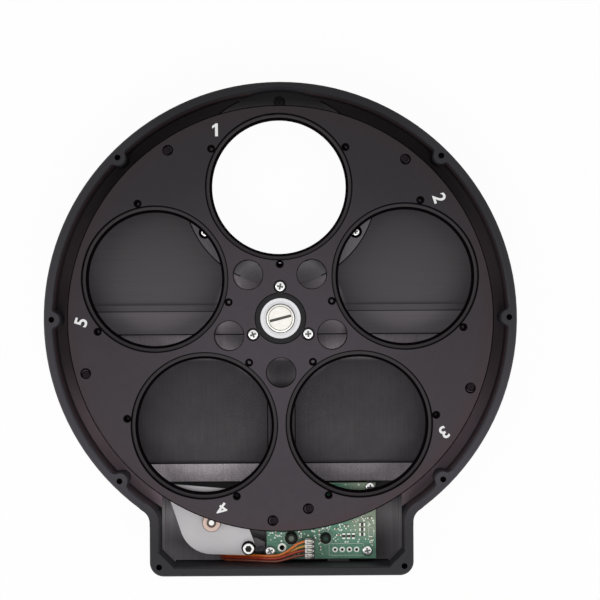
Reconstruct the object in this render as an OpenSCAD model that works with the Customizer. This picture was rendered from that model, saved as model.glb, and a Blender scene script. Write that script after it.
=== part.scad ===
// Motorised five-position optical filter wheel with its cover taken off.
// The wheel turns about Z through the origin. The back of the housing lies on z = 0,
// the open side faces +Z and the electronics bay is towards -Y.

/* [Filter seats] */
// Number of filter positions
filter_count = 5; // [3:1:5]
// Radius of the threaded hole of a seat, inside the thread of a 2-inch filter cell
filter_thread_r = 23.6; // [22:0.1:24]
// Radius of the recess that takes the knurled rim of the cell
filter_recess_r = 25.5; // [25.2:0.1:26]
// Depth of that recess
filter_recess_depth = 2; // [1.2:0.1:2.4]
// Distance of the seats from the wheel axis
filter_pitch_r = 45.9; // [45.5:0.1:48]
// Distance of the clamping screws of an unmounted filter from its centre
retainer_circle_r = 27; // [26.8:0.05:27.2]
// Tapping radius of those screws
retainer_tap_r = 1; // [0.8:0.05:1.1]

/* [Carousel] */
// Thickness of the carousel
carousel_t = 4.5; // [4.3:0.1:6]
// Material left between a recess and the edge of the carousel
carousel_edge = 2.95; // [2.8:0.05:5]
// Thickness of the overhanging lip at the top
lip_t = 2; // [1.9:0.05:2.4]
// Overhang of the lip past the face of the tyre
lip_overhang = 2.2; // [1.8:0.1:2.6]
// Radius of the lightening holes
relief_r = 5.1; // [3:0.1:5.3]
// Distance of the lightening holes from the axis
relief_circle_r = 18.9; // [18.7:0.1:19.3]
// Turn of the whole carousel from the first seat being straight up, in degrees
carousel_turn = 0.4; // [-1:0.1:1]
// Radial thickness of the rubber drive tyre
tyre_t = 1.1; // [0.8:0.05:1.2]
// Radius of an index magnet
magnet_r = 1.25; // [0.8:0.05:1.3]
// Distance of the index magnets from the edge of the carousel
magnet_inset = 3.85; // [3.4:0.05:4.4]
// Distance of the home magnet from the axis
home_magnet_circle_r = 67; // [66:0.1:67.5]

/* [Hub] */
// Bore radius of the ball bearing
bearing_bore_r = 3.5; // [3:0.1:3.6]
// Outer radius of the ball bearing
bearing_outer_r = 7; // [6.8:0.1:7.4]
// Width of the ball bearing
bearing_w = 5; // [4.6:0.1:5.4]
// Radius of a bearing ball
ball_r = 1; // [0.8:0.05:1.05]
// Number of bearing balls
ball_count = 8; // [6:1:9]
// Radius of the collar of the carousel hub
collar_r = 9; // [8.7:0.1:9]
// Radius of the flange of the carousel hub
hub_flange_r = 13.3; // [13:0.1:13.6]
// Thickness of that flange
hub_flange_t = 2.2; // [1.8:0.1:2.6]
// Distance of the hub screws from the axis
hub_screw_circle_r = 11.1; // [11:0.05:11.2]
// Radius of the head of the axle screw
axle_head_r = 5.1; // [4.6:0.1:5.5]

/* [Housing] */
// Gap between the edge of the carousel and the round wall
rim_gap = 4.85; // [4.4:0.05:6]
// Thickness of the round wall
wall = 2.8; // [2.4:0.1:3.6]
// Thickness of the floor on its ribs
floor_t = 3; // [2.8:0.1:4]
// Depth of the pockets milled between the ribs
pocket_depth = 1; // [0.4:0.1:1.2]
// Space between the floor and the underside of the carousel
carousel_clear = 6; // [5.8:0.1:8]
// Space between the carousel and the cover's seat on the rim
cover_gap = 3.5; // [2:0.1:5]
// Chamfer along the edges of the rim
rim_chamfer = 0.5; // [0.2:0.1:0.8]
// Radius of the bosses of the cover screws
boss_r = 2.7; // [2.4:0.1:3]
// Tapping radius of the cover screws
cover_tap_r = 1.05; // [0.8:0.05:1.2]
// Depth of the tapped holes of the cover screws
cover_tap_depth = 7; // [4:0.5:10]

/* [Electronics bay] */
// Half of the outer width of the bay
bay_half_w = 45.7; // [45:0.1:48]
// How far the bay reaches past the round part
bay_reach = 7.2; // [7:0.1:9]
// Thickness of the walls of the bay
bay_wall = 3.1; // [2.6:0.1:3.2]
// Thickness of the floor of the bay
bay_floor_t = 1.3; // [1:0.1:1.5]
// Radius of the outer corners of the bay
bay_corner_r = 4.8; // [4:0.1:6]
// Radius of the neck between the bay and the round part
neck_r = 5; // [3:0.5:7]

/* [Telescope adapter] */
// Radius inside the thread of the adapter ring
adapter_thread_r = 26.6; // [25.5:0.1:27]
// Radius of the flange of the adapter ring
adapter_flange_r = 34.3; // [33.6:0.1:35]
// Thickness of that flange
adapter_flange_t = 2; // [1.8:0.1:2.2]
// Distance of the adapter screws from the centre of the aperture
adapter_screw_circle_r = 30.8; // [30.7:0.05:31]
// Number of adapter screws
adapter_screw_count = 6; // [3:1:6]

/* [Friction drive] */
// Radius of the knurled drive roller
roller_r = 3.3; // [3:0.1:3.6]
// Height of the drive roller
roller_h = 2.5; // [2.2:0.1:2.6]
// Direction of the roller from the wheel axis, in degrees
roller_angle = -109; // [-110:0.5:-108]
// Thickness of the swing plate
plate_t = 1; // [0.8:0.1:1.2]
// Radius of the geared motor
motor_r = 9.4; // [8:0.1:9.8]
// Radius of the head of the pivot screw
pivot_head_r = 2; // [1.8:0.1:2.2]
// Radius of the wire of the arm spring
spring_wire_r = 0.3; // [0.2:0.02:0.34]
// Turns of the arm spring
spring_turns = 3; // [2:1:3]

/* [Electronics] */
// Width of the circuit board
board_w = 38.5; // [38:0.1:39]
// Length of the circuit board towards the hub
board_l = 26.6; // [25:0.1:26.8]
// Thickness of the circuit board
board_t = 1.6; // [1:0.1:1.7]
// Height of the circuit board above the floor of the bay
board_stand = 3.1; // [3.05:0.05:3.4]
// Radius of a motor lead
lead_r = 0.45; // [0.3:0.05:0.48]

/* [Hidden] */
$fn = 72;
fit = 0.02;             // radial clearance of parts that are assembled once
play = 0.05;            // radial clearance of parts that turn
eps = 0.01;
tangent_cut = 0.01;     // how far a fillet cuts past the curve that it meets

// Heights
carousel_z = floor_t + carousel_clear;
carousel_top = carousel_z + carousel_t;
rim_h = carousel_top + cover_gap;
pocket_z = floor_t - pocket_depth;

// Radii of the round part
carousel_r = filter_pitch_r + filter_recess_r + carousel_edge;
magnet_circle_r = carousel_r - magnet_inset;
tyre_r = carousel_r - lip_overhang;
cavity_r = carousel_r + rim_gap;
housing_r = cavity_r + wall;
pocket_r = carousel_r - 2.35;
filter_step = 360 / filter_count;

// Electronics bay
bay_edge = housing_r + bay_reach;
bay_in_w = bay_half_w - bay_wall;
bay_in_edge = bay_edge - bay_wall;
bay_top = 57.8;             // distance of the bay's inner edge from the wheel axis
notch_top = 64.6;           // the same beside the motor
notch_w = 39.3;             // half width of the bay above that notch
bay_ledge = 1.2;            // floor left standing along the side walls of the bay
corner_fill = 5;            // leg of the diagonal fill in the corners of the bay
break_margin = 1.2;         // from the ends of a neck, in mm and in degrees
corner_tap = [bay_half_w - 3.2, -(bay_edge - 3.2)];

// Floor ribs
rib_top = 4.7;
rib_bottom = -5.6;
spine_half_w = 5.05;
lower_rib = 51.1;           // distance of the land beside the bay from the wheel axis
pocket_corner_r = 2.5;
dimple_r = 2.1;
dimple_at = [16.3, 11.6];

// Cover screws of the round part
cover_tap_circle_r = cavity_r + 0.1;
cover_tap_angles = [0, 45, 135, 180, 225, 315];
boss_fillet_r = 1.5;

// Telescope adapter
aperture = [0, filter_pitch_r];
adapter_ledge_t = 1.4;
adapter_spigot_r = adapter_thread_r + 2.4;
adapter_head_r = 1.9;
adapter_head_h = 1.1;
adapter_shank_r = 1;
adapter_z = adapter_ledge_t;
adapter_top = adapter_z + adapter_flange_t;

// Hub and bearing, stacked from the top of the carousel downwards
collar_top = carousel_top - 0.2;
bearing_top = collar_top - 0.3;
bearing_z = bearing_top - bearing_w;
hub_z = carousel_z - hub_flange_t;
race_mid_r = (bearing_bore_r + bearing_outer_r) / 2;
race_half_gap = 0.65;
inner_race_r = race_mid_r - race_half_gap;
outer_race_in_r = race_mid_r + race_half_gap;
shield_t = 0.2;
shoulder_r = inner_race_r - 0.05;
post_foot_r = 3;
post_foot_z = 1;
hub_boss_r = 8;
hub_boss_top = bearing_z - 3;
axle_thread_r = 1.95;
washer_t = 0.3;
hub_head_r = 2;
hub_head_h = 1.2;
hub_shank_r = 0.95;
hub_sink_r = hub_head_r + 0.35;
hub_sink_depth = hub_head_h + 0.15;

// Tyre and magnets
tyre_gap = 0.2;
tyre_seat_r = tyre_r - tyre_t;
tyre_flange_t = 0.4;
lip_z = carousel_top - lip_t;
magnet_h = 1.6;
magnet_sink = 0.15;
index_angle = 51.5;
home_magnet_angle = -82;

// Friction drive
roller_at = (tyre_r + roller_r + play) * [cos(roller_angle), sin(roller_angle)];
pivot_at = roller_at + [12.88, -9.31];
plate_z = carousel_z - 0.6 - plate_t;
plate_top = plate_z + plate_t;
plate_corner_r = 11.4;
plate_tip_x = 13.4;
plate_tip_y = 11;
plate_tip_r = 2.2;
plate_ear_x = 6;
plate_ear_y = 9;
plate_ear_r = 2.5;
roller_z = plate_top + 0.3;
shaft_r = 0.9;
shaft_gap = 0.8;            // radial width of the counterbore round the shaft
motor_z = bay_floor_t + 0.4;
gear_case_t = 2;
gear_case_z = plate_z - gear_case_t;
lug_r = 2.4;
lugs = [roller_at + [-11, 9.9], roller_at + [6.3, 7]];
motor_head_r = 1.7;
motor_shank_r = 0.95;
motor_head_h = 0.5;
motor_head_z = plate_top - 0.1 - motor_head_h;
block_z = plate_z - 2.8;    // top of the pivot block
sleeve_r = 1.75;
journal_r = 1.55;
pivot_shank_r = 1.2;
pivot_washer_r = 2.5;
pivot_washer_t = 0.4;
pivot_washer_z = plate_top + 0.05;
pivot_head_h = 1.9;
coil_r = sleeve_r + 0.1 + spring_wire_r;
coil_z = block_z + spring_wire_r + 0.15;
coil_h = plate_z - coil_z - spring_wire_r - 0.25;
pin_r = 0.8;
plate_pin_arm = 4.6;        // distance of the plate's pin from the pivot
plate_pin_angle = 150;
plate_pin_at = pivot_at + plate_pin_arm * [cos(plate_pin_angle), sin(plate_pin_angle)];
plate_pin_l = 1.8;
anchor_arm = 4.4;           // distance of the block's pin from the pivot
anchor_angle = -10;
anchor_pin_at = pivot_at + anchor_arm * [cos(anchor_angle), sin(anchor_angle)];
anchor_pin_top = block_z + 1.4;
spring_give = 0.3;          // how far the plate's pin may come towards the spring
gland_angle = -75;
gland_l = 1.2;
gland_at = roller_at + motor_r * [cos(gland_angle), sin(gland_angle)];
pivot_corner_r = 2.5;       // corner of the plate round the pivot

// Circuit board
board_edge_gap = 1.2;
board_x = -5.4;
board_y = -(bay_in_edge - board_edge_gap);
board_z = bay_floor_t + board_stand;
board_top = board_z + board_t;
board_screw_at = [
    [board_x + 1.2, board_y + 2.8], [board_x + board_w - 3, board_y + 2.8],
    [board_x + board_w - 1.9, board_y + board_l - 1.6]
];
standoff_r = 2.2;
board_tap_r = 0.8;
board_head_r = 1.9;
board_head_h = 1.3;
board_hole_r = 1.05;
ring_hole_at = [0, board_y + 3.9];
ring_hole_r = 0.9;
header_at = [board_x + 24.1, board_y + 3.1];
header_pitch = 2.54;
header_pins = 4;
header_hole_r = 0.5;

// Parts on the circuit board
connector_at = [board_x + 13.5, board_y + 0.6];
connector_size = [3.4, 6.9, 3.9];
connector_pitch = 1.6;
connector_pins = 4;
contact_w = 0.7;
sensor_at = [board_x + 15.3, board_y + 15.4];
sensor_size = [4, 3, 1.5];
sensor_lead_pitch = 1.27;
inductor_at = [board_x + 8.7, board_y + 7.5];
inductor_r = 2.2;
inductor_h = 3;
capacitor_at = [board_x + 20.8, board_y + 7.3];
capacitor_r = 1.9;
capacitor_h = 2.6;
resistor_size = [1.0, 1.9, 0.5];
resistors_upright = [for (k = [0:2]) [board_x + board_w - 11.3 + 1.7 * k, board_y + 7.9]];
resistors_across = [for (k = [0:2]) [board_x + board_w - 4.8, board_y + 8.5 + 1.7 * k]];
controller_at = [board_x + 12.5, board_y + 22.7];
controller_size = [6, 6, 1];
driver_at = [board_x + 26, board_y + 18.5];
driver_size = [5, 4, 1.2];
leg_size = [0.3, 0.9, 0.35];

// USB socket, hung under the board and flush with the outer wall
usb_x = board_x + 25.4;
usb_w = 8.9;
usb_h = 2.9;
usb_l = 7.4;
usb_wall = 0.3;
usb_z = board_z - usb_h;
usb_mouth = -(bay_edge - 0.3);
usb_clear = 0.15;

// Motor leads: three run side by side along the wall and the fourth below them
lead_pitch = 0.96;
lead_drop = 1.12;           // of the fourth lead below the others
lead_gap = 0.75;            // from the motor's gland, which swings with the arm
lead_z = bay_floor_t + 2.2;
lead_row = -(bay_in_edge - 1.5);
lead_turn_r = 2.4;
pin_y = [for (k = [0:connector_pins - 1])
    connector_at.y + connector_size.y / 2 + (1.5 - k) * connector_pitch];
pin_z = board_top + 2.2;

// ------------------------------------------------------------------ shared shapes

module at_angles(angles, r) {
    for (a = angles) rotate(a) translate([r, 0, 0]) children();
}

module both_sides() {
    children();
    mirror([1, 0, 0]) children();
}

module ring(r_out, r_in, h) {
    difference() {
        cylinder(h = h, r = r_out);
        translate([0, 0, -1]) cylinder(h = h + 2, r = r_in);
    }
}

module bar(from, to, h) {
    translate([from.x, from.y, 0]) cube([to.x - from.x, to.y - from.y, h]);
}

// Centre of the arc that joins a circle of radius r to the line x = half_w from outside
function neck_centre(r, half_w, arc_r) =
    [half_w + arc_r, -sqrt(pow(r + arc_r, 2) - pow(half_w + arc_r, 2))];

// Round dish joined to a rectangular bay by concave necks
module dish(h, r, half_w, edge, arc_r, corner_r) {
    neck = neck_centre(r, half_w, arc_r);
    difference() {
        union() {
            cylinder(h = h, r = r);
            bar([-half_w, -edge + corner_r], [half_w, 0], h);
            bar([-half_w + corner_r, -edge], [half_w - corner_r, 0], h);
            both_sides() {
                translate([half_w - corner_r, -edge + corner_r, 0]) cylinder(h = h, r = corner_r);
                linear_extrude(h)
                    polygon([neck * r / (r + arc_r), neck, [half_w, neck.y], [half_w - 2, neck.y + 6]]);
            }
        }
        both_sides() translate([neck.x, neck.y, -1]) cylinder(h = h + 2, r = arc_r + tangent_cut);
    }
}

// Boss of a cover screw with filleted flanks, growing from the wall towards the hub
module boss(h) {
    reach = cavity_r - cover_tap_circle_r;
    v = boss_fillet_r - reach;
    u = sqrt(pow(boss_r + boss_fillet_r, 2) - pow(v, 2));
    difference() {
        union() {
            cylinder(h = h, r = boss_r);
            linear_extrude(h) polygon([[2, -u], [-v, -u], [0, 0], [-v, u], [2, u]]);
        }
        for (s = [-1, 1]) translate([-v, s * u, -1]) cylinder(h = h + 2, r = boss_fillet_r + tangent_cut);
    }
}

// Inside of the housing: the dish less its bosses and the filled corners of the bay
module cavity(h) {
    difference() {
        dish(h, cavity_r, bay_in_w, bay_in_edge, neck_r + wall, 0.8);
        translate([0, 0, -1]) {
            at_angles(cover_tap_angles, cover_tap_circle_r) boss(h + 2);
            both_sides() linear_extrude(h + 2)
                polygon([[bay_in_w + 1, -bay_in_edge + corner_fill + 1], [bay_in_w + 1, -bay_in_edge - 1],
                    [bay_in_w - corner_fill - 1, -bay_in_edge - 1]]);
        }
    }
}

// The edges are broken up to the necks, which stay sharp
// Triangle that breaks an edge at radius r and height rim_h; out = 1 keeps what is inside r
function edge_profile(r, out) = [
    [r - out * (rim_chamfer + 1), rim_h + 1], [r + out, rim_h - rim_chamfer - 1], [r + out, rim_h + 1]
];

module arc_break(r, from, to, out) {
    rotate(from) rotate_extrude(angle = to - from) polygon(edge_profile(r, out));
}

// The same along a straight edge that starts at the origin and runs along +Y
module line_break(length, out) {
    translate([0, length, 0]) rotate([90, 0, 0])
        linear_extrude(length) polygon(edge_profile(0, out));
}

module outer_break() {
    neck = neck_centre(housing_r, bay_half_w, neck_r);
    turn = atan2(neck.y, neck.x) + break_margin;
    arc_break(housing_r, turn, 180 - turn, 1);
    both_sides() {
        translate([bay_half_w, -bay_edge + bay_corner_r, 0])
            line_break(neck.y - break_margin + bay_edge - bay_corner_r, 1);
        translate([bay_half_w - bay_corner_r, -bay_edge + bay_corner_r, 0])
            arc_break(bay_corner_r, -90, 0, 1);
    }
    translate([-bay_half_w + bay_corner_r, -bay_edge, 0]) rotate(-90)
        line_break(2 * (bay_half_w - bay_corner_r), 1);
}

module inner_break() {
    neck = neck_centre(cavity_r, bay_in_w, neck_r + wall);
    turn = atan2(neck.y, neck.x) + break_margin;
    half_boss = asin((boss_r + boss_fillet_r) / cavity_r);
    arc_break(cavity_r, 45 + half_boss, 135 - half_boss, -1);
    both_sides() {
        arc_break(cavity_r, half_boss, 45 - half_boss, -1);
        arc_break(cavity_r, -45 + half_boss, -half_boss, -1);
        arc_break(cavity_r, turn, -45 - half_boss, -1);
        translate([bay_in_w, -bay_in_edge + corner_fill, 0])
            line_break(neck.y - break_margin + bay_in_edge - corner_fill, -1);
    }
    translate([-bay_in_w + corner_fill, -bay_in_edge, 0]) rotate(-90)
        line_break(2 * (bay_in_w - corner_fill), -1);
}

// Screw with a plain round head; children cut its drive into the head
module round_screw(head_r, head_h, shank_r, length, crown = 0.25) {
    difference() {
        union() {
            cylinder(h = head_h - crown, r = head_r);
            translate([0, 0, head_h - crown]) cylinder(h = crown, r1 = head_r, r2 = head_r - crown);
            translate([0, 0, -length]) cylinder(h = length + eps, r = shank_r);
        }
        translate([0, 0, head_h]) children();
    }
}

module cross_drive(size, depth) {
    for (a = [0, 90]) rotate(a) translate([-size / 2, -0.25, -depth]) cube([size, 0.5, depth + 1]);
}

// Tube of radius r swept along the points of path, with sides flats
module swept(path, r, sides = 8) {
    last = len(path) - 1;
    along = [for (k = [0:last]) path[min(k + 1, last)] - path[max(k - 1, 0)]];
    rings = [for (k = [0:last])
        let (t = along[k] / norm(along[k]), u = cross(t, [0, 0, 1]) / norm(cross(t, [0, 0, 1])),
            v = cross(u, t))
        for (s = [0:sides - 1]) path[k] + r * (cos(360 * s / sides) * u + sin(360 * s / sides) * v)];
    skin = [for (k = [0:last - 1], s = [0:sides - 1])
        let (n = (s + 1) % sides)
        for (tri = [[k * sides + s, (k + 1) * sides + n, (k + 1) * sides + s],
            [k * sides + s, k * sides + n, (k + 1) * sides + n]]) tri];
    first_cap = [for (s = [sides - 1:-1:0]) s];
    last_cap = [for (s = [0:sides - 1]) last * sides + s];
    polyhedron(rings, concat(skin, [first_cap, last_cap]));
}

// Smooth curve through the points p, with steps stretches between two of them
function smooth(p, steps) = concat(
    [for (k = [0:len(p) - 2], s = [0:steps - 1])
        let (t = s / steps, a = p[max(k - 1, 0)], b = p[k], c = p[k + 1], d = p[min(k + 2, len(p) - 1)])
        0.5 * (2 * b + (c - a) * t + (2 * a - 5 * b + 4 * c - d) * t * t
            + (3 * b - a - 3 * c + d) * t * t * t)],
    [p[len(p) - 1]]);

// ------------------------------------------------------------------ housing

module floor_pockets(h) {
    intersection() {
        cylinder(h = h, r = pocket_r);
        union() {
            bar([-pocket_r, rib_top], [pocket_r, pocket_r], h);
            both_sides() lower_pocket(h);
        }
    }
}

// Pocket beside the spine, with the round corners that the milling cutter leaves
module lower_pocket(h) {
    x = spine_half_w;
    c = pocket_corner_r;
    bar([x + c, -lower_rib], [pocket_r, rib_bottom], h);
    bar([x, -lower_rib + c], [pocket_r, rib_bottom - c], h);
    for (y = [-lower_rib + c, rib_bottom - c]) translate([x + c, y, 0]) cylinder(h = h, r = c);
}

module bay_pocket(h) {
    side = bay_in_w - bay_ledge;
    intersection() {
        cavity(h);
        union() {
            bar([-side, -bay_edge], [side, -notch_top], h);
            bar([-notch_w, -bay_edge], [side, -bay_top], h);
        }
    }
}

module pivot_block() {
    translate([pivot_at.x, pivot_at.y, 0]) linear_extrude(block_z)
        polygon([[-3.2, -2.1], [5.7, -2.1], [5.7, 1.5], [2.3, 3.1], [-1.4, 3.1], [-3.2, 1.6]]);
}

module cover_holes() {
    translate([0, 0, rim_h - cover_tap_depth]) {
        at_angles(cover_tap_angles, cover_tap_circle_r) cylinder(h = cover_tap_depth + 1, r = cover_tap_r);
        both_sides() translate(corner_tap) cylinder(h = cover_tap_depth + 1, r = cover_tap_r);
    }
}

// Block with round ends in the shape of the USB socket, from from_y to to_y
module usb_block(grow, from_y, to_y) {
    translate([usb_x, to_y, usb_z + usb_h / 2]) rotate([90, 0, 0]) {
        both_sides() translate([usb_w / 2 - usb_h / 2, 0, 0])
            cylinder(h = to_y - from_y, r = usb_h / 2 + grow);
        bar([-usb_w / 2 + usb_h / 2, -usb_h / 2 - grow], [usb_w / 2 - usb_h / 2, usb_h / 2 + grow],
            to_y - from_y);
    }
}

module housing() color([0.15, 0.15, 0.16]) {
    difference() {
        union() {
            difference() {
                dish(rim_h, housing_r, bay_half_w, bay_edge, neck_r, bay_corner_r);
                translate([0, 0, floor_t]) cavity(rim_h);
                translate([0, 0, pocket_z]) floor_pockets(rim_h);
                translate([0, 0, bay_floor_t]) bay_pocket(rim_h);
                outer_break();
                translate([0, 0, rim_h]) mirror([0, 0, 1]) outer_break();
                inner_break();
            }
            cylinder(h = hub_boss_top, r = hub_boss_r);
            for (p = board_screw_at) translate(p) cylinder(h = board_z, r = standoff_r);
            pivot_block();
        }
        cover_holes();
        translate([0, 0, post_foot_z]) cylinder(h = rim_h, r = post_foot_r + fit);
        translate(aperture) {
            translate([0, 0, -1]) cylinder(h = rim_h, r = adapter_spigot_r + fit);
            translate([0, 0, adapter_z]) cylinder(h = rim_h, r = adapter_flange_r + fit);
            adapter_holes(adapter_shank_r + fit);
        }
        both_sides() translate([dimple_at.x, dimple_at.y, pocket_z - 1]) cylinder(h = 2, r = dimple_r);
        for (p = board_screw_at)
            translate([p.x, p.y, bay_floor_t]) cylinder(h = board_stand + 1, r = board_tap_r + fit);
        translate([pivot_at.x, pivot_at.y, bay_floor_t]) cylinder(h = rim_h, r = pivot_shank_r + fit);
        translate([anchor_pin_at.x, anchor_pin_at.y, bay_floor_t]) cylinder(h = rim_h, r = pin_r + fit);
        usb_block(usb_clear, -bay_edge - 1, -bay_in_edge + 1);
    }
}

// ------------------------------------------------------------------ telescope adapter

module adapter_holes(r) {
    at_angles([for (k = [0:adapter_screw_count - 1]) 30 + k * 360 / adapter_screw_count],
        adapter_screw_circle_r)
        translate([0, 0, -1]) cylinder(h = adapter_top + 2, r = r);
}

module telescope_adapter() color([0.2, 0.2, 0.21]) translate(aperture) {
    difference() {
        union() {
            translate([0, 0, adapter_z]) cylinder(h = adapter_flange_t, r = adapter_flange_r);
            cylinder(h = adapter_z + eps, r = adapter_spigot_r);
        }
        translate([0, 0, -1]) cylinder(h = adapter_top + 2, r = adapter_thread_r);
        adapter_holes(adapter_shank_r + fit);
        at_angles([for (k = [0:adapter_screw_count - 1]) 30 + k * 360 / adapter_screw_count],
            adapter_screw_circle_r)
            translate([0, 0, adapter_top - adapter_head_h - 0.1])
                cylinder(h = adapter_head_h + 1, r = adapter_head_r + 0.25);
    }
}

module adapter_screws() color([0.7, 0.7, 0.7]) translate(aperture)
    at_angles([for (k = [0:adapter_screw_count - 1]) 30 + k * 360 / adapter_screw_count],
        adapter_screw_circle_r)
        translate([0, 0, adapter_top - adapter_head_h - 0.1])
            round_screw(adapter_head_r, adapter_head_h, adapter_shank_r,
                adapter_top - adapter_head_h - 0.2)
                cross_drive(2, 0.6);

// ------------------------------------------------------------------ axle and bearing

module axle_post() color([0.6, 0.6, 0.62]) difference() {
    union() {
        translate([0, 0, post_foot_z]) cylinder(h = hub_boss_top - post_foot_z + eps, r = post_foot_r);
        translate([0, 0, hub_boss_top]) cylinder(h = bearing_z - hub_boss_top, r = shoulder_r);
        cylinder_between(bearing_z - eps, bearing_top - 0.2, bearing_bore_r - fit);
    }
    cylinder_between(post_foot_z + 2, rim_h, axle_thread_r + fit);
}

module cylinder_between(low, high, r) {
    translate([0, 0, low]) cylinder(h = high - low, r = r);
}

// Section of a race: a rectangle from r_in to r_out with the ball groove cut out
module race(r_in, r_out) {
    difference() {
        translate([0, 0, bearing_z]) ring(r_out, r_in, bearing_w);
        translate([0, 0, bearing_z + bearing_w / 2])
            rotate_extrude() translate([race_mid_r, 0]) circle(ball_r + 0.03);
    }
}

module bearing_inner_race() color([0.8, 0.8, 0.82]) race(bearing_bore_r, inner_race_r);

module bearing_outer_race() color([0.8, 0.8, 0.82]) race(outer_race_in_r, bearing_outer_r);

module ball_positions() {
    translate([0, 0, bearing_z + bearing_w / 2])
        at_angles([for (k = [0:ball_count - 1]) k * 360 / ball_count], race_mid_r) children();
}

module bearing_balls() color([0.85, 0.85, 0.87]) ball_positions() sphere(ball_r);

module bearing_cage() color([0.7, 0.6, 0.3]) difference() {
    cage_h = 2 * ball_r + 0.9;
    translate([0, 0, bearing_z + (bearing_w - cage_h) / 2])
        ring(outer_race_in_r - 0.15, inner_race_r + 0.15, cage_h);
    ball_positions() rotate([0, 90, 0]) cylinder(h = 2, r = ball_r + play, center = true);
}

module bearing_shields() color([0.75, 0.75, 0.77])
    for (z = [bearing_z + 0.15, bearing_top - 0.15 - shield_t])
        translate([0, 0, z]) ring(outer_race_in_r - fit, inner_race_r + 0.1, shield_t);

module axle_washer() color([0.7, 0.7, 0.72])
    translate([0, 0, bearing_top]) ring(inner_race_r - 0.1, axle_thread_r + 0.1, washer_t);

module axle_screw() color([0.9, 0.9, 0.88]) translate([0, 0, bearing_top + washer_t])
    round_screw(axle_head_r, 1.2, axle_thread_r, bearing_w + 1, 0.5)
        rotate(14 + carousel_turn) translate([-3.85, -0.475, -0.7]) cube([7.7, 0.95, 2]);

// ------------------------------------------------------------------ carousel

module seats() {
    rotate(90 + carousel_turn)
        at_angles([for (k = [0:filter_count - 1]) k * filter_step], filter_pitch_r) children();
}

module carousel_web() {
    cylinder_between(carousel_z, carousel_top, tyre_seat_r);
    cylinder_between(lip_z, carousel_top, carousel_r);
    cylinder_between(carousel_z, carousel_z + tyre_flange_t, tyre_r - 0.3);
}

module carousel() color([0.22, 0.2, 0.22]) difference() {
    carousel_web();
    seats() {
        cylinder_between(carousel_z - 1, carousel_top + 1, filter_thread_r);
        cylinder_between(carousel_top - filter_recess_depth, carousel_top + 1, filter_recess_r);
        at_angles([60, 180, 300], retainer_circle_r)
            cylinder_between(carousel_z - 1, carousel_top + 1, retainer_tap_r);
    }
    rotate(carousel_turn) {
        at_angles([for (k = [0:filter_count - 1]) 90 + (k + 0.5) * filter_step], relief_circle_r)
            cylinder_between(carousel_z - 1, carousel_top + 1, relief_r);
        magnet_holes();
        at_angles([90, 210, 330], hub_screw_circle_r) {
            cylinder_between(carousel_z - 1, carousel_top + 1, hub_shank_r + 0.15);
            cylinder_between(carousel_top - hub_sink_depth, carousel_top + 1, hub_sink_r);
        }
    }
    cylinder_between(carousel_z - 1, carousel_top + 1, collar_r + fit);
}

module magnet_places() {
    at_angles([for (k = [0:filter_count - 1]) index_angle + k * filter_step], magnet_circle_r)
        children();
}

module magnet_holes() {
    translate([0, 0, carousel_top - magnet_sink - magnet_h]) {
        magnet_places() cylinder(h = magnet_h + 1, r = magnet_r + 0.25);
        at_angles([home_magnet_angle], home_magnet_circle_r)
            cylinder(h = magnet_h + 1, r = magnet_r + 0.25);
    }
}

module magnet() {
    translate([0, 0, carousel_top - magnet_sink - magnet_h]) cylinder(h = magnet_h, r = magnet_r);
}

module index_magnets() color([0.35, 0.35, 0.37]) rotate(carousel_turn) magnet_places() magnet();

module home_magnet() color([0.35, 0.35, 0.37]) rotate(carousel_turn)
    at_angles([home_magnet_angle], home_magnet_circle_r) magnet();

module carousel_hub() color([0.12, 0.12, 0.13]) difference() {
    union() {
        cylinder_between(hub_z, carousel_z, hub_flange_r);
        cylinder_between(hub_z, collar_top - 0.3, collar_r);
        translate([0, 0, collar_top - 0.3]) cylinder(h = 0.3, r1 = collar_r, r2 = collar_r - 0.3);
    }
    cylinder_between(bearing_z, collar_top + 1, bearing_outer_r + fit);
    cylinder_between(hub_z - 1, bearing_z + 1, shoulder_r + 1.2);
    rotate(carousel_turn) at_angles([90, 210, 330], hub_screw_circle_r)
        cylinder_between(hub_z + 0.3, carousel_z + 1, hub_shank_r + fit);
}

module hub_screws() color([0.85, 0.85, 0.85]) rotate(carousel_turn)
    at_angles([90, 210, 330], hub_screw_circle_r)
        translate([0, 0, carousel_top - hub_sink_depth])
            round_screw(hub_head_r, hub_head_h, hub_shank_r,
                carousel_t - hub_sink_depth + hub_flange_t - 0.6)
                rotate(20) cross_drive(2.2, 0.6);

module drive_tyre() color([0.08, 0.08, 0.08])
    translate([0, 0, carousel_z + tyre_flange_t + 0.05])
        ring(tyre_r, tyre_seat_r + fit, lip_z - carousel_z - tyre_flange_t - 0.1);

// ------------------------------------------------------------------ friction drive

module plate_outline(shrink = 0) {
    hull() {
        translate(roller_at) circle(plate_corner_r - shrink);
        translate(roller_at + [-plate_tip_x, plate_tip_y]) circle(plate_tip_r - shrink);
        translate(roller_at + [plate_ear_x, plate_ear_y]) circle(plate_ear_r - shrink);
        translate(pivot_at) circle(pivot_corner_r - shrink);
    }
}

module motor_plate() color([0.78, 0.77, 0.78]) difference() {
    translate([0, 0, plate_z]) linear_extrude(plate_t) plate_outline();
    translate([pivot_at.x, pivot_at.y, 0]) cylinder(h = rim_h, r = journal_r + play);
    translate([roller_at.x, roller_at.y, 0]) cylinder(h = rim_h, r = shaft_r + shaft_gap);
    translate([plate_pin_at.x, plate_pin_at.y, 0]) cylinder(h = plate_top - 0.3, r = pin_r + fit);
    for (p = lugs) translate([p.x, p.y, 0]) {
        cylinder(h = rim_h, r = motor_shank_r + fit);
        translate([0, 0, motor_head_z]) cylinder(h = motor_head_h, r1 = motor_shank_r + fit,
            r2 = motor_head_r + fit);
        translate([0, 0, motor_head_z + motor_head_h - eps]) cylinder(h = 1, r = motor_head_r + fit);
    }
}

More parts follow.
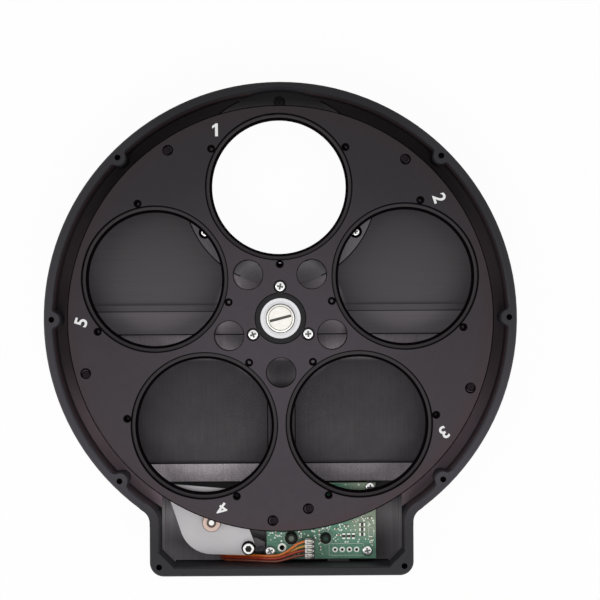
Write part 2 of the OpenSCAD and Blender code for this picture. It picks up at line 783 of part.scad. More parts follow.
module motor_can() color([0.72, 0.72, 0.74]) translate([roller_at.x, roller_at.y, 0]) {
    cylinder_between(motor_z + 0.4, gear_case_z, motor_r);
    translate([0, 0, motor_z]) cylinder(h = 0.4, r1 = motor_r - 0.4, r2 = motor_r);
}

module gear_case() color([0.5, 0.5, 0.52]) difference() {
    translate([0, 0, gear_case_z]) linear_extrude(gear_case_t) {
        translate(roller_at) circle(motor_r + 0.4);
        for (p = lugs) hull() {
            translate(p) circle(lug_r);
            translate(roller_at + 0.45 * (p - roller_at)) circle(lug_r + 1.2);
        }
    }
    translate([roller_at.x, roller_at.y, gear_case_z - 1]) cylinder(h = rim_h, r = shaft_r + play);
    for (p = lugs) translate([p.x, p.y, gear_case_z - 1]) cylinder(h = rim_h, r = motor_shank_r + fit);
}

module motor_screws() color([0.7, 0.7, 0.72])
    for (p = lugs) translate([p.x, p.y, 0]) {
        cylinder_between(gear_case_z + 0.2, motor_head_z + eps, motor_shank_r);
        difference() {
            translate([0, 0, motor_head_z])
                cylinder(h = motor_head_h, r1 = motor_shank_r, r2 = motor_head_r);
            translate([0, 0, motor_head_z + motor_head_h]) cross_drive(1.8, 0.3);
        }
    }

module plate_pin() color([0.75, 0.75, 0.77])
    translate([plate_pin_at.x, plate_pin_at.y, 0])
        cylinder_between(plate_z - plate_pin_l, plate_top - 0.32, pin_r);

module lead_gland() color([0.85, 0.85, 0.8])
    translate([gland_at.x, gland_at.y, lead_z - 1.7]) rotate(gland_angle)
        translate([0.1, -1.7, 0]) cube([gland_l - 0.1, 3.4, 2.6]);

module motor_shaft() color([0.85, 0.85, 0.85])
    translate([roller_at.x, roller_at.y, 0])
        cylinder_between(gear_case_z + 0.3, roller_z + roller_h + 0.1, shaft_r);

module drive_roller() color([0.8, 0.62, 0.5])
    translate([roller_at.x, roller_at.y, roller_z]) difference() {
        cylinder(h = roller_h, r = roller_r);
        translate([0, 0, -1]) cylinder(h = roller_h + 2, r = shaft_r + fit);
        translate([0, 0, roller_h - 0.5]) cylinder(h = 1, r = shaft_r + shaft_gap);
    }

module pivot_sleeve() color([0.3, 0.3, 0.32]) translate([pivot_at.x, pivot_at.y, 0]) difference() {
    union() {
        cylinder_between(block_z, plate_z - 0.05, sleeve_r);
        cylinder_between(block_z, pivot_washer_z, journal_r);
    }
    cylinder_between(0, rim_h, pivot_shank_r + fit);
}

module pivot_washer() color([0.1, 0.1, 0.1])
    translate([pivot_at.x, pivot_at.y, pivot_washer_z]) ring(pivot_washer_r, pivot_shank_r + fit, pivot_washer_t);

module pivot_screw() color([0.85, 0.85, 0.85])
    translate([pivot_at.x, pivot_at.y, pivot_washer_z + pivot_washer_t])
        round_screw(pivot_head_r, pivot_head_h, pivot_shank_r,
            pivot_washer_z + pivot_washer_t - bay_floor_t - 0.4)
            translate([0, 0, -1]) cylinder(h = 2, r = 1.15, $fn = 6);

module anchor_pin() color([0.75, 0.75, 0.77])
    translate([anchor_pin_at.x, anchor_pin_at.y, 0])
        cylinder_between(bay_floor_t + 0.3, anchor_pin_top, pin_r);

// Torsion spring round the sleeve: its lower leg leans on the pin in the block and its
// upper leg on the pin in the plate, which turns the roller towards the tyre.
module arm_spring() color([0.2, 0.2, 0.22]) {
    touch = pin_r + spring_wire_r + 0.08;
    low = anchor_angle + asin((coil_r - touch) / anchor_arm) - 90;
    high = plate_pin_angle + acos((coil_r - touch - spring_give) / plate_pin_arm);
    turn = 360 * spring_turns + low - high;
    steps = 20 * spring_turns;
    coil = [for (k = [0:steps])
        let (a = low - turn * k / steps)
        [pivot_at.x + coil_r * cos(a), pivot_at.y + coil_r * sin(a), coil_z + coil_h * k / steps]];
    low_end = coil[0] + (anchor_arm + 0.7) * [cos(low + 90), sin(low + 90), 0];
    high_end = coil[steps] + (plate_pin_arm + 0.7) * [cos(high - 90), sin(high - 90), 0];
    swept(concat([low_end, coil[0] + 0.5 * [cos(low + 90), sin(low + 90), 0]], coil,
        [coil[steps] + 0.5 * [cos(high - 90), sin(high - 90), 0], high_end]), spring_wire_r);
}

// ------------------------------------------------------------------ electronics

module circuit_board() color([0.2, 0.45, 0.32]) difference() {
    translate([board_x, board_y, board_z]) cube([board_w, board_l, board_t]);
    for (p = board_screw_at) translate([p.x, p.y, board_z - 1]) cylinder(h = board_t + 2, r = board_hole_r);
    translate([ring_hole_at.x, ring_hole_at.y, board_z - 1]) cylinder(h = board_t + 2, r = ring_hole_r);
    for (k = [0:header_pins - 1])
        translate([header_at.x + k * header_pitch, header_at.y, board_z - 1])
            cylinder(h = board_t + 2, r = header_hole_r);
}

module board_screws() color([0.85, 0.85, 0.85])
    for (p = board_screw_at) translate([p.x, p.y, board_top])
        round_screw(board_head_r, board_head_h, board_tap_r, board_t + board_stand - 0.5)
            rotate(30) cross_drive(2, 0.6);

module motor_connector() color([0.93, 0.92, 0.9]) {
    size = connector_size;
    difference() {
        translate([connector_at.x, connector_at.y, board_top]) cube(size);
        for (y = pin_y) {
            translate([connector_at.x + 0.7, y - contact_w / 2, board_top + 1])
                cube([size.x - 1.4, contact_w, size.z]);
            translate([connector_at.x - 1, y - lead_r - 0.1, pin_z - lead_r - 0.15])
                cube([1.75, 2 * lead_r + 0.2, 2 * lead_r + 0.3]);
        }
    }
}

module connector_contacts() color([0.8, 0.75, 0.6])
    for (y = pin_y)
        translate([connector_at.x + 0.9, y - contact_w / 2 + 0.1, board_top + 1])
            cube([connector_size.x - 1.9, contact_w - 0.2, 1.8]);

module hall_sensor() color([0.1, 0.1, 0.1]) {
    translate([sensor_at.x - sensor_size.x / 2, sensor_at.y, board_top + 0.3]) cube(sensor_size);
    for (k = [-1:1]) translate([sensor_at.x + k * sensor_lead_pitch - 0.2, sensor_at.y - 5.2, board_top]) {
        translate([0, 0, 0.8]) cube([0.4, 5.2 + eps, 0.4]);
        cube([0.4, 0.4, 0.9]);
    }
}

// Flat package with a row of legs along two of its sides
module chip(at, size, legs) {
    translate([at.x, at.y, board_top]) {
        translate([-size.x / 2, -size.y / 2, 0.1]) cube(size);
        for (k = [0:legs - 1], s = [0, 180]) rotate(s)
            translate([size.x * ((k + 0.5) / legs - 0.5) - leg_size.x / 2, size.y / 2 - eps, 0])
                cube(leg_size);
    }
}

module controller_chip() color([0.12, 0.12, 0.13]) chip(controller_at, controller_size, 8);

module driver_chip() color([0.12, 0.12, 0.13]) chip(driver_at, driver_size, 4);

module power_inductor() color([0.13, 0.13, 0.13]) translate([inductor_at.x, inductor_at.y, board_top]) {
    cylinder(h = inductor_h - 0.4, r = inductor_r);
    translate([0, 0, inductor_h - 0.4]) cylinder(h = 0.4, r1 = inductor_r, r2 = inductor_r - 0.4);
}

module filter_capacitor() color([0.13, 0.15, 0.14])
    translate([capacitor_at.x, capacitor_at.y, board_top]) {
        cylinder(h = capacitor_h - 0.3, r = capacitor_r);
        translate([0, 0, capacitor_h - 0.3]) cylinder(h = 0.3, r1 = capacitor_r, r2 = capacitor_r - 0.3);
    }

module chip_resistors() color([0.25, 0.22, 0.2]) {
    size = resistor_size;
    for (p = resistors_upright)
        translate([p.x - size.x / 2, p.y - size.y / 2, board_top]) cube(size);
    for (p = resistors_across)
        translate([p.x - size.y / 2, p.y - size.x / 2, board_top]) cube([size.y, size.x, size.z]);
}

module usb_shell() color([0.8, 0.8, 0.8]) difference() {
    usb_block(-eps, usb_mouth, usb_mouth + usb_l);
    usb_block(-usb_wall, usb_mouth - 1, usb_mouth + usb_l - usb_wall);
}

module usb_tongue() color([0.1, 0.1, 0.1])
    translate([usb_x - 3.3, usb_mouth + 1.2, usb_z + usb_h / 2 - 0.35])
        cube([6.6, usb_l - usb_wall - 1.2, 0.7]);

// ------------------------------------------------------------------ motor leads

// Lead number k leaves the motor, turns along the wall and fans out to its own pin
module motor_lead(k) {
    column = [1, 0, -1, 0][k] * lead_pitch;
    low = [0, 0, 0, 1][k] * lead_drop;
    pin = pin_y[[0, 2, 3, 1][k]];
    out = [cos(gland_angle), sin(gland_angle)];
    left = [-out.y, out.x];
    start = gland_at + (gland_l + lead_gap) * out;
    run = (lead_row + lead_turn_r - start.y - lead_turn_r * left.y) / out.y;
    centre = start + run * out + lead_turn_r * left;
    turn = [for (a = [gland_angle - 90, gland_angle / 2 - 90, -90])
        centre + (lead_turn_r - column) * [cos(a), sin(a)]];
    from = start + column * left;
    points = [
        [from.x, from.y, lead_z - low],
        [turn[0].x, turn[0].y, lead_z - low],
        [turn[1].x, turn[1].y, lead_z + 0.15 - low],
        [turn[2].x, turn[2].y, lead_z + 0.4 - low],
        [-15.5, lead_row + column, lead_z + 1 - low],
        [-11.5, lead_row + column, lead_z + 2.1 - low],
        [-8.2, lead_row + column, lead_z + 3.2 - low],
        [-4.2, lead_row + column, board_top + 2.3 - low],
        [-0.9 + 0.25 * column, lead_row + [0.42, 0.3, 0.22, 0.3][k] + 1.06 * column,
            board_top + 2.6 - low],
        [2.0, lead_row + [1.7, 1.4, 1.1, 1.75][k] + 1.1 * column, board_top + 2.75 - low],
        [5.4, pin + [-0.9, -0.5, -0.4, -0.9][k], pin_z + 0.25 - 0.4 * low],
        [connector_at.x + 0.3, pin, pin_z]
    ];
    swept(smooth(points, 2), lead_r);
}

module orange_lead() color([0.85, 0.4, 0.15]) motor_lead(0);

module red_lead() color([0.7, 0.05, 0.03]) motor_lead(1);

module brown_lead() color([0.35, 0.12, 0.08]) motor_lead(2);

module yellow_lead() color([0.8, 0.65, 0.3]) motor_lead(3);

housing();
telescope_adapter();
adapter_screws();
axle_post();
axle_washer();
axle_screw();
bearing_inner_race();
bearing_outer_race();
bearing_balls();
bearing_cage();
bearing_shields();
carousel();
carousel_hub();
hub_screws();
drive_tyre();
index_magnets();
home_magnet();
motor_plate();
motor_can();
gear_case();
motor_screws();
plate_pin();
lead_gland();
motor_shaft();
drive_roller();
pivot_sleeve();
pivot_washer();
pivot_screw();
anchor_pin();
arm_spring();
circuit_board();
board_screws();
motor_connector();
connector_contacts();
hall_sensor();
controller_chip();
driver_chip();
power_inductor();
filter_capacitor();
chip_resistors();
usb_shell();
usb_tongue();
orange_lead();
red_lead();
brown_lead();
yellow_lead();
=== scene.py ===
"""Looks of an open motorised filter wheel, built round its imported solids.

Run as a script it finishes every node, adds the fine pieces and sets the stage.
Lengths are in millimetres until a mesh is made; the settings in the panel are in metres.
"""

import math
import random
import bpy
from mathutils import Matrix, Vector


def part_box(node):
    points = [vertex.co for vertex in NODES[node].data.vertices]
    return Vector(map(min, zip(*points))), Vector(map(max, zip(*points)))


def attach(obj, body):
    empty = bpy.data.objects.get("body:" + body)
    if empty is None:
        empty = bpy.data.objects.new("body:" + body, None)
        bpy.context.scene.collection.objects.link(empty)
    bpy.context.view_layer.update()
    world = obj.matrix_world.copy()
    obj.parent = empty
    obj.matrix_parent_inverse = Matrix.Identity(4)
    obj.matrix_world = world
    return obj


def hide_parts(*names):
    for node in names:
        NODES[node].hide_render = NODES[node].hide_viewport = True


bl_info = {
    "name": "Filter wheel looks",
    "version": (1, 0, 0),
    "blender": (4, 5, 0),
    "location": "View3D > Sidebar > Filter wheel",
    "description": "Finishes, screws, threads, numbers and stage of an open filter wheel",
    "category": "Object",
}

import bmesh
import bpy
from bpy.props import FloatProperty, FloatVectorProperty, IntProperty, PointerProperty
from bpy.types import Operator, Panel, PropertyGroup
from mathutils import Matrix, Vector

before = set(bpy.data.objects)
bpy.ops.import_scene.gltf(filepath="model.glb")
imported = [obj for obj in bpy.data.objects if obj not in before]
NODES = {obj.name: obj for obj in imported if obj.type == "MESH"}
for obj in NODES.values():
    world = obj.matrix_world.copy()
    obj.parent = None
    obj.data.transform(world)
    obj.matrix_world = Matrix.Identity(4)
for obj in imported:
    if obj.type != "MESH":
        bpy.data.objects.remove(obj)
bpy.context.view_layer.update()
MM = 0.001


def corners(name):
    """Low and high corner of a node's box."""
    low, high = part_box(name)
    return low / MM, high / MM


# Places that several pieces share, read from the solids
CAROUSEL_LOW, CAROUSEL_HIGH = corners("carousel")
BOARD_LOW, BOARD_HIGH = corners("circuit_board")
ROLLER_LOW, ROLLER_HIGH = corners("drive_roller")
ROLLER_AT = (ROLLER_LOW + ROLLER_HIGH) / 2
PIVOT_AT = sum(corners("pivot_screw"), Vector()) / 2
ADAPTER_AT = sum(corners("telescope_adapter"), Vector()) / 2

# Seats of the carousel and what lies round them
SEATS = 5
SEAT_PITCH = ADAPTER_AT.y
FIRST_SEAT = 90.4
SEAT_THREAD_R = 23.6
RETAINER_PITCH = 27
INDEX_MAGNET = (59.06, 38.5)
HOME_MAGNET = (9.32, -66.35)
RELIEF_PITCH = 18.9
FIRST_RELIEF = 126.4
RIM_FACE = 13.3

# Telescope adapter
ADAPTER_THREAD_R = 26.6
ADAPTER_SCREW_PITCH = 30.8
ADAPTER_SCREWS = 6

# Floor of the housing: heights, edges of its rib and of its lower land, and walls round it
FLOOR_HEIGHTS = (0.6, 3.3)
RIB = (-5.6, 2.4)
LAND = (-58.0, -51.2)
DISH_R = 73.5
WALL_R = 79.3
BAY_ALONG = (-85.9, -57.8)
BAY_HALF = 42.5

# Board, from its left and front edges: header, ring hole and places kept clear of small holes
HEADER_AT = (24.1, 3.1)
HEADER_PITCH = 2.54
RING_HOLE_AT = (5.4, 3.9)
KEPT_CLEAR = ((3.5, 1.9, 7.6, 5.9), (21.9, 1.0, 34.3, 5.4), (26.4, 6.6, 31.6, 9.2),
              (32.2, 7.8, 35.2, 12.8))
CONNECTOR_PITCH = 1.6

# Thickness of paint, and height of a numeral over the size of its font
PAINT = 0.012
NUMERAL = 0.70

# Tones that pieces share, the deep black being painted shade in holes, grooves and along edges, and
# the angle from which an edge stays sharp
DEEP_BLACK = (0.004, 0.003, 0.0035)
BRIGHT = (0.80, 0.80, 0.79)
SHARP_ANGLE = math.radians(32)


# ---------------------------------------------------------------- settings


def colour(name, text, default):
    return FloatVectorProperty(name=name, description=text, subtype="COLOR", size=3,
                               min=0, max=1, default=default)


def length(name, text, default):
    return FloatProperty(name=name, description=text, default=default, unit="LENGTH", precision=5)


class WheelSizes(PropertyGroup):
    digit_height: length("Digit height", "Height of the position numbers", 0.0045)
    digit_circle: length("Digit circle", "Distance of the numbers from the wheel axis", 0.0695)
    digit_turn: FloatProperty(name="Digit angle", description="Angle from a seat to its number",
                              default=math.radians(18.4), subtype="ANGLE")
    thread_pitch: length("Thread pitch", "Pitch of the filter and adapter threads", 0.00075)
    thread_depth: length("Thread depth", "Height of a thread crest inside its bore", 0.00022)
    knurls: IntProperty(name="Knurls", description="Number of ridges round the roller", default=44)
    via_count: IntProperty(name="Vias", description="Number of plated holes on the board",
                           default=150)


class WheelColours(PropertyGroup):
    housing: colour("Housing", "Anodised housing", (0.0195, 0.0182, 0.0212))
    carousel: colour("Carousel", "Anodised carousel", (0.026, 0.0218, 0.0258))
    warm_edge: colour("Warm edge", "Tint of the carousel towards its edge", (0.034, 0.017, 0.016))
    board: colour("Board", "Solder mask", (0.085, 0.235, 0.155))
    plate: colour("Plate", "Swing plate of the drive", (0.46, 0.445, 0.455))
    roller: colour("Roller", "Drive roller", (0.50, 0.38, 0.33))
    digits: colour("Digits", "Painted numbers", (0.86, 0.86, 0.85))
    orange_lead: colour("Orange lead", "Insulation", (0.80, 0.20, 0.035))
    red_lead: colour("Red lead", "Insulation", (0.42, 0.04, 0.015))
    brown_lead: colour("Brown lead", "Insulation", (0.22, 0.045, 0.02))
    yellow_lead: colour("Yellow lead", "Insulation", (0.66, 0.36, 0.08))


class StageSettings(PropertyGroup):
    camera_height: length("Camera height", "Distance from the carousel's top to the camera", 0.57)
    view_width: length("View width", "Width of the view at the carousel's top", 0.209)
    camera_x: length("Camera X", "Place of the camera across the wheel", 0.00685)
    camera_y: length("Camera Y", "Place of the camera along the wheel", 0.00635)
    roll: FloatProperty(name="Roll", description="Turn of the camera about its view",
                        default=math.radians(-0.34), subtype="ANGLE")


# ---------------------------------------------------------------- node trees


class Value:
    """A socket of a node tree; arithmetic on it adds the Math nodes."""

    def __init__(self, nodes, socket):
        self.nodes = nodes
        self.socket = socket

    def math(self, operation, *others):
        inputs = dict(enumerate((self,) + others))
        return self.nodes.add("ShaderNodeMath", inputs, {"operation": operation})

    def __add__(self, other):
        return self.math("ADD", other)

    __radd__ = __add__

    def __sub__(self, other):
        return self.math("SUBTRACT", other)

    def __rsub__(self, other):
        return self.nodes.add("ShaderNodeMath", {0: other, 1: self}, {"operation": "SUBTRACT"})

    def __mul__(self, other):
        return self.math("MULTIPLY", other)

    __rmul__ = __mul__

    def __truediv__(self, other):
        return self.math("DIVIDE", other)

    def root(self):
        return self.math("SQRT")

    def away(self):
        """Distance from zero."""
        return self.math("ABSOLUTE")

    def least(self, other):
        return self.math("MINIMUM", other)

    def most(self, other):
        return self.math("MAXIMUM", other)

    def above(self, limit, soft=0.0):
        """1 where the value is over limit, with a soft edge of that width."""
        if not soft:
            return self.math("GREATER_THAN", limit)
        edge = {"Value": self, "From Min": limit - soft / 2, "From Max": limit + soft / 2}
        return self.nodes.add("ShaderNodeMapRange", edge, {"interpolation_type": "SMOOTHSTEP"})

    def below(self, limit, soft=0.0):
        return 1 - self.above(limit, soft)

    def between(self, low, high, soft=0.0):
        return self.above(low, soft) * self.below(high, soft)


class Nodes:
    """Adds nodes to a tree, for shaders and for geometry."""

    def __init__(self, tree):
        self.tree = tree
        tree.nodes.clear()

    @staticmethod
    def find(sockets, key):
        """Socket by its number, its identifier or its name."""
        if isinstance(key, int):
            return sockets[key]
        for s in sockets:
            if s.identifier == key:
                return s
        return next(s for s in sockets if s.name == key and s.enabled)

    def add(self, kind, inputs=None, settings=None, out=0):
        """Adds a node; returns its output, or the node itself where out is None."""
        node = self.tree.nodes.new(kind)
        for key, value in (settings or {}).items():
            setattr(node, key, value)
        for key, value in (inputs or {}).items():
            socket = self.find(node.inputs, key)
            if isinstance(value, Value):
                self.tree.links.new(value.socket, socket)
            elif hasattr(value, "__len__") and socket.type == "RGBA":
                socket.default_value = tuple(value) + (1,) * (4 - len(value))
            else:
                socket.default_value = value
        if out is None:
            return node
        return Value(self, self.find(node.outputs, out))

    def place(self):
        return self.add("ShaderNodeTexCoord", out="Object")

    def xyz(self):
        node = self.add("ShaderNodeSeparateXYZ", {"Vector": self.place()}, out=None)
        return [Value(self, node.outputs[k]) * (1 / MM) for k in range(3)]

    def far(self, x, y, at=(0, 0)):
        """Distance of the point x, y from a place."""
        dx, dy = x - at[0], y - at[1]
        return (dx * dx + dy * dy).root()

    def sector(self, x, y, start, count):
        """The point turned into the nearest of count equal sectors, the first at start degrees."""
        step = 2 * math.pi / count
        angle = y.math("ARCTAN2", x) - math.radians(start) + step / 2
        angle = angle.math("FLOORED_MODULO", step) - step / 2
        r = self.far(x, y)
        return r * angle.math("COSINE"), r * angle.math("SINE")

    def waves(self, value, pitch):
        """Sine waves of that pitch, for turning rings."""
        return (value * (2 * math.pi / pitch)).math("SINE")

    def noise(self, scale, detail=2.0, stretch=(1, 1, 1), turn=0.0, roughness=0.5):
        spot = self.add("ShaderNodeMapping", {"Vector": self.place(), "Rotation": (0, 0, turn)})
        spot = self.add("ShaderNodeVectorMath", {0: spot, 1: stretch}, {"operation": "MULTIPLY"})
        return self.add("ShaderNodeTexNoise", {"Vector": spot, "Scale": scale, "Detail": detail,
                                               "Roughness": roughness}, out="Fac")

    def mix(self, factor, a, b):
        return self.add("ShaderNodeMix", {"Factor_Float": factor, "A_Color": a, "B_Color": b},
                        {"data_type": "RGBA"}, out="Result_Color")

    def shade(self, tone, amount):
        """A colour made lighter or darker by a factor."""
        return self.add("ShaderNodeVectorMath", {0: tone, "Scale": amount}, {"operation": "SCALE"})

    def bump(self, height, depth):
        """Normal of a surface whose relief is depth high."""
        return self.add("ShaderNodeBump", {"Height": height, "Distance": depth * MM,
                                           "Strength": 1.0})


def vector(tone):
    return tuple(tone)[:3]


def surface(name, slot=None, **fixed):
    """A new material with one Principled shader; returns it with its nodes and shader."""
    material = bpy.data.materials.new(name)
    material.use_nodes = True
    nodes = Nodes(material.node_tree)
    fixed = {key.replace("_", " "): value for key, value in fixed.items()}
    shader = nodes.add("ShaderNodeBsdfPrincipled", fixed, out=None)
    nodes.add("ShaderNodeOutputMaterial", {"Surface": Value(nodes, shader.outputs[0])}, out=None)
    material["slot"] = slot or name
    return material, nodes, shader


def feed(nodes, shader, **values):
    """Links values to the shader's sockets of those names."""
    for key, value in values.items():
        nodes.tree.links.new(value.socket, shader.inputs[key.replace("_", " ")])


def dress(material, *names):
    """Gives CAD nodes this finish."""
    for name in names:
        slots = NODES[name].data.materials
        slots.clear()
        slots.append(material)


# ---------------------------------------------------------------- finishes


def blasted(nodes, depth, scale):
    """Fine even grain of a blasted and anodised surface, as a bump."""
    fine = nodes.noise(scale, 2.0)
    coarse = nodes.noise(scale / 4, 1.0)
    return nodes.bump(fine * 0.7 + coarse * 0.3, depth)


def housing_finish():
    """Blasted black outside; milled pockets, ribs and lands on the floor inside, with painted light
    and shade.
    """
    c = bpy.context.scene.wheel_colours
    m, n, s = surface("housing_black", Specular_IOR_Level=0.2)
    x, y, z = n.xyz()
    r = n.far(x, y)
    streaks = n.noise(1.0, 4.0, (25, 2600, 25), roughness=0.6)
    columns = n.noise(1.0, 3.0, (1900, 60, 60), roughness=0.6)
    ribs = n.noise(1.0, 3.0, (700, 20, 20), roughness=0.6)
    mottle = n.noise(160, 4.0, roughness=0.7)
    grain = n.noise(3600, 2.0)
    low = z.between(*FLOOR_HEIGHTS)
    dish = r.below(DISH_R, 0.4)

    # Cutter streaks above the rib, and a mottled cast look with fine columns below it
    lower = y.below(RIB[0])
    near = lower * y.above(-14.0, 3.0)
    milled = 0.78 + streaks * 0.44
    rough = 0.55 + mottle * 0.5 + (columns - 0.5) * 0.4 + (grain - 0.5) * 0.4
    cast = x.away().between(4.0, 19.0, 6.0) * y.between(-39.0, -17.0, 9.0)
    marks = milled * (1 - lower) + lower * rough + (grain - 0.5) * cast * 1.1

    # Painted light and shade: how light each part of the floor is painted, lightest just below the
    # rib, on the land and on the floor seen through the holes under the hub
    painted_light = 1.08 + y.between(*RIB) * 0.54 - lower * 0.5 + near * 3.7
    painted_light = painted_light + y.below(-38.0, 16.0) * 0.15
    land = y.between(*LAND)
    painted_light = painted_light + land * (2.3 + x.below(0.0) * 2.5) * (0.3 + grain * 1.4)
    painted_light_under_hub = r.above(12.0) * r.below(22.8, 3.0)
    lift = 2.5 - near * 2.2 + y.below(-14.0) * 0.4 + y.above(9.0, 3.0) * 3.5
    painted_light = painted_light * (1 + painted_light_under_hub * lift)
    tone = n.mix(low * dish, vector(c.housing), n.shade((0.040, 0.036, 0.039), marks * painted_light))

    # Ring between the carousel and the wall, and the bay; painted light makes both lighter towards
    # the front and the left
    ring = 1.0 + y.below(-30.0, 40.0) * (3.0 + x.below(0.0, 60.0) * 1.2)
    ring = r.above(DISH_R, 0.4) * r.below(WALL_R) * ring
    tone = n.mix(low * (1 - dish), tone, n.shade((0.034, 0.026, 0.029), ring))
    bay = y.between(*BAY_ALONG) * x.away().below(BAY_HALF) * z.between(0.6, 5.0)
    shine = (0.7 + ribs * 0.6) * (0.72 + x.below(0.0, 40.0) * 0.7) * (0.06 + y.below(-66.0, 10.0))
    tone = n.mix(bay, tone, n.shade((0.20, 0.185, 0.195), shine))

    # Reddish band on the wall; painted light makes the housing lighter towards the bay, so the rim
    # darkens away from it, and painted shade darkens the top and the upper right of the rim
    wall = z.between(3.3, 16.2) * r.between(WALL_R - 0.5, WALL_R + 0.3) * z.between(7.0, 13.0, 3.0)
    tone = n.mix(wall, tone, (0.030, 0.017, 0.019))
    painted_light_fall = 1 + y.below(10.0, 110.0) * y.above(-66.0, 30.0) * 1.3
    tone = n.shade(tone, (0.9 + n.noise(9000, 1.0) * 0.2) * painted_light_fall)
    painted_far_rim_shade = y.above(66.0, 16.0) * 0.5 + x.above(64.0, 16.0) * y.above(-14.0, 40.0) * 0.35
    tone = n.shade(tone, 1 - z.above(15.0) * painted_far_rim_shade)

    # Painted shade: dark lines along the steps of the floor
    line = y.between(RIB[0] - 0.3, RIB[0] + 0.1, 0.15)
    line = line + y.between(RIB[1] - 0.1, RIB[1] + 0.25, 0.15) * 0.8
    line = line + y.between(LAND[1] - 0.4, LAND[1] + 0.05, 0.15)
    line = line + x.away().between(4.7, 5.05, 0.15) * y.between(-51.4, -24.0)
    line = line * low * dish
    tone = n.mix(line, tone, DEEP_BLACK)
    gloss = 0.5 - z.above(16.35) * 0.08 + low * 0.08 + (mottle - 0.5) * 0.05
    feed(n, s, Base_Color=tone, Metallic=line, Roughness=gloss, Normal=blasted(n, 0.010, 5200))
    return m


def carousel_finish():
    """Satin black with painted shade on the machined edges round every seat and hole, and a painted
    sheen.
    """
    c = bpy.context.scene.wheel_colours
    m, n, s = surface("carousel_black", Specular_IOR_Level=0.2)
    x, y, z = n.xyz()
    r = n.far(x, y)
    u, v = n.sector(x, y, FIRST_SEAT, SEATS)
    seat = n.far(u, v, (SEAT_PITCH, 0))
    relief = n.far(*n.sector(x, y, FIRST_RELIEF, SEATS), (RELIEF_PITCH, 0))
    outer_tap = n.far(u, v.away(), (SEAT_PITCH + RETAINER_PITCH / 2,
                                    RETAINER_PITCH * math.sin(math.radians(60))))
    tap = outer_tap.least(n.far(u, v, (SEAT_PITCH - RETAINER_PITCH, 0)))
    magnet = n.far(u, v, INDEX_MAGNET).least(n.far(x, y, HOME_MAGNET))
    drift = n.noise(22, 2.0)
    cloth = n.noise(420, 3.0, roughness=0.6)
    warm = r.above(70.5, 6.0) * (0.1 + drift * 0.3)
    tone = n.mix(warm, vector(c.carousel), vector(c.warm_edge))
    # Painted sheen: the carousel is lighter towards the bottom and towards its middle
    painted_light = 0.72 + y.below(0.0, 140.0) * 1.05 + r.below(38.0, 50.0) * 0.7
    tone = n.shade(tone, (0.88 + cloth * 0.24) * painted_light)
    top = z.above(RIM_FACE)
    ledge = z.below(RIM_FACE) * seat.between(24.3, 25.4, 0.2)
    tone = n.mix(ledge, tone, (0.045, 0.040, 0.043))
    # Painted shade: unlit dark rings round the seats, relief holes, tapped holes, magnets and the
    # rim, and every face lower than 11.3 mm
    lines = (seat.between(25.3, 25.72, 0.3) + seat.between(23.2, 24.3, 0.25)
             + relief.between(4.9, 5.32, 0.2) * top + r.above(74.0, 0.25)
             + tap.between(0.7, 1.42, 0.3) * top + magnet.between(1.3, 1.9, 0.2) * top)
    dark = lines.least(1.0).most(z.below(11.3))
    tone = n.mix(dark, tone, (0.0035, 0.0022, 0.003))
    gloss = 0.46 + (drift - 0.5) * 0.05 + dark * 0.3
    feed(n, s, Base_Color=tone, Metallic=dark, Roughness=gloss, Normal=blasted(n, 0.008, 6000))
    return m


def hub_finish():
    """Black anodising over fine turning rings."""
    m, n, s = surface("hub_black", Specular_IOR_Level=0.2)
    x, y, z = n.xyz()
    rings = n.waves(n.far(x, y), 0.25)
    wobble = n.noise(900, 2.0)
    feed(n, s, Base_Color=n.shade((0.010, 0.010, 0.011), 0.85 + wobble * 0.3),
         Roughness=0.34 + wobble * 0.08, Normal=n.bump(rings * 0.5 + wobble, 0.006))
    return m


def adapter_finish():
    """Turned black ring with painted shade on its edges and in the counterbores round its six
    screws, and painted light and shade over the rest.
    """
    m, n, s = surface("adapter_black", Specular_IOR_Level=0.2)
    x, y, z = n.xyz()
    dx, dy = x - ADAPTER_AT.x, y - ADAPTER_AT.y
    r = n.far(dx, dy)
    u, v = n.sector(dx, dy, 30, ADAPTER_SCREWS)
    rings = n.waves(r, 0.25)
    wobble = n.noise(900, 2.0)
    # Painted shade: the counterbores but those at the top, the edge of the flange and the bore
    # inside the thread are unlit black
    bores = n.far(u, v, (ADAPTER_SCREW_PITCH, 0)).below(2.3, 0.15) * dy.below(27.0)
    edge = r.between(33.9, 34.4, 0.2) * dx.away().above(14.3, 0.4)
    dark = (bores + edge).least(1.0).most(r.below(27.4))
    # Painted light and shade: a grey far lighter than the black anodising, darker towards the top
    # and the left, lighter where the holes under the hub show it
    painted_light = (0.85 + wobble * 0.3) * (1 - dy.above(28.0, 8.0) * 0.85)
    painted_light = painted_light * (1 - dx.below(-22.0, 4.0) * 0.25)
    painted_light = painted_light * (1 + n.far(x, y).below(23.0, 3.0) * 1.3)
    tone = n.mix(dark, n.shade((0.15, 0.14, 0.15), painted_light), DEEP_BLACK)
    feed(n, s, Base_Color=tone, Metallic=dark, Roughness=0.45 + wobble * 0.08,
         Normal=n.bump(rings * 0.5 + wobble, 0.006))
    return m


def void(name, slot):
    """Painted shade: unlit black for the depth of a hole or of a groove."""
    m, n, s = surface(name, slot, Metallic=1.0)
    fine = n.noise(1500, 2.0)
    feed(n, s, Base_Color=n.shade(DEEP_BLACK, 0.8 + fine * 0.4), Roughness=0.7 + fine * 0.1)
    return m


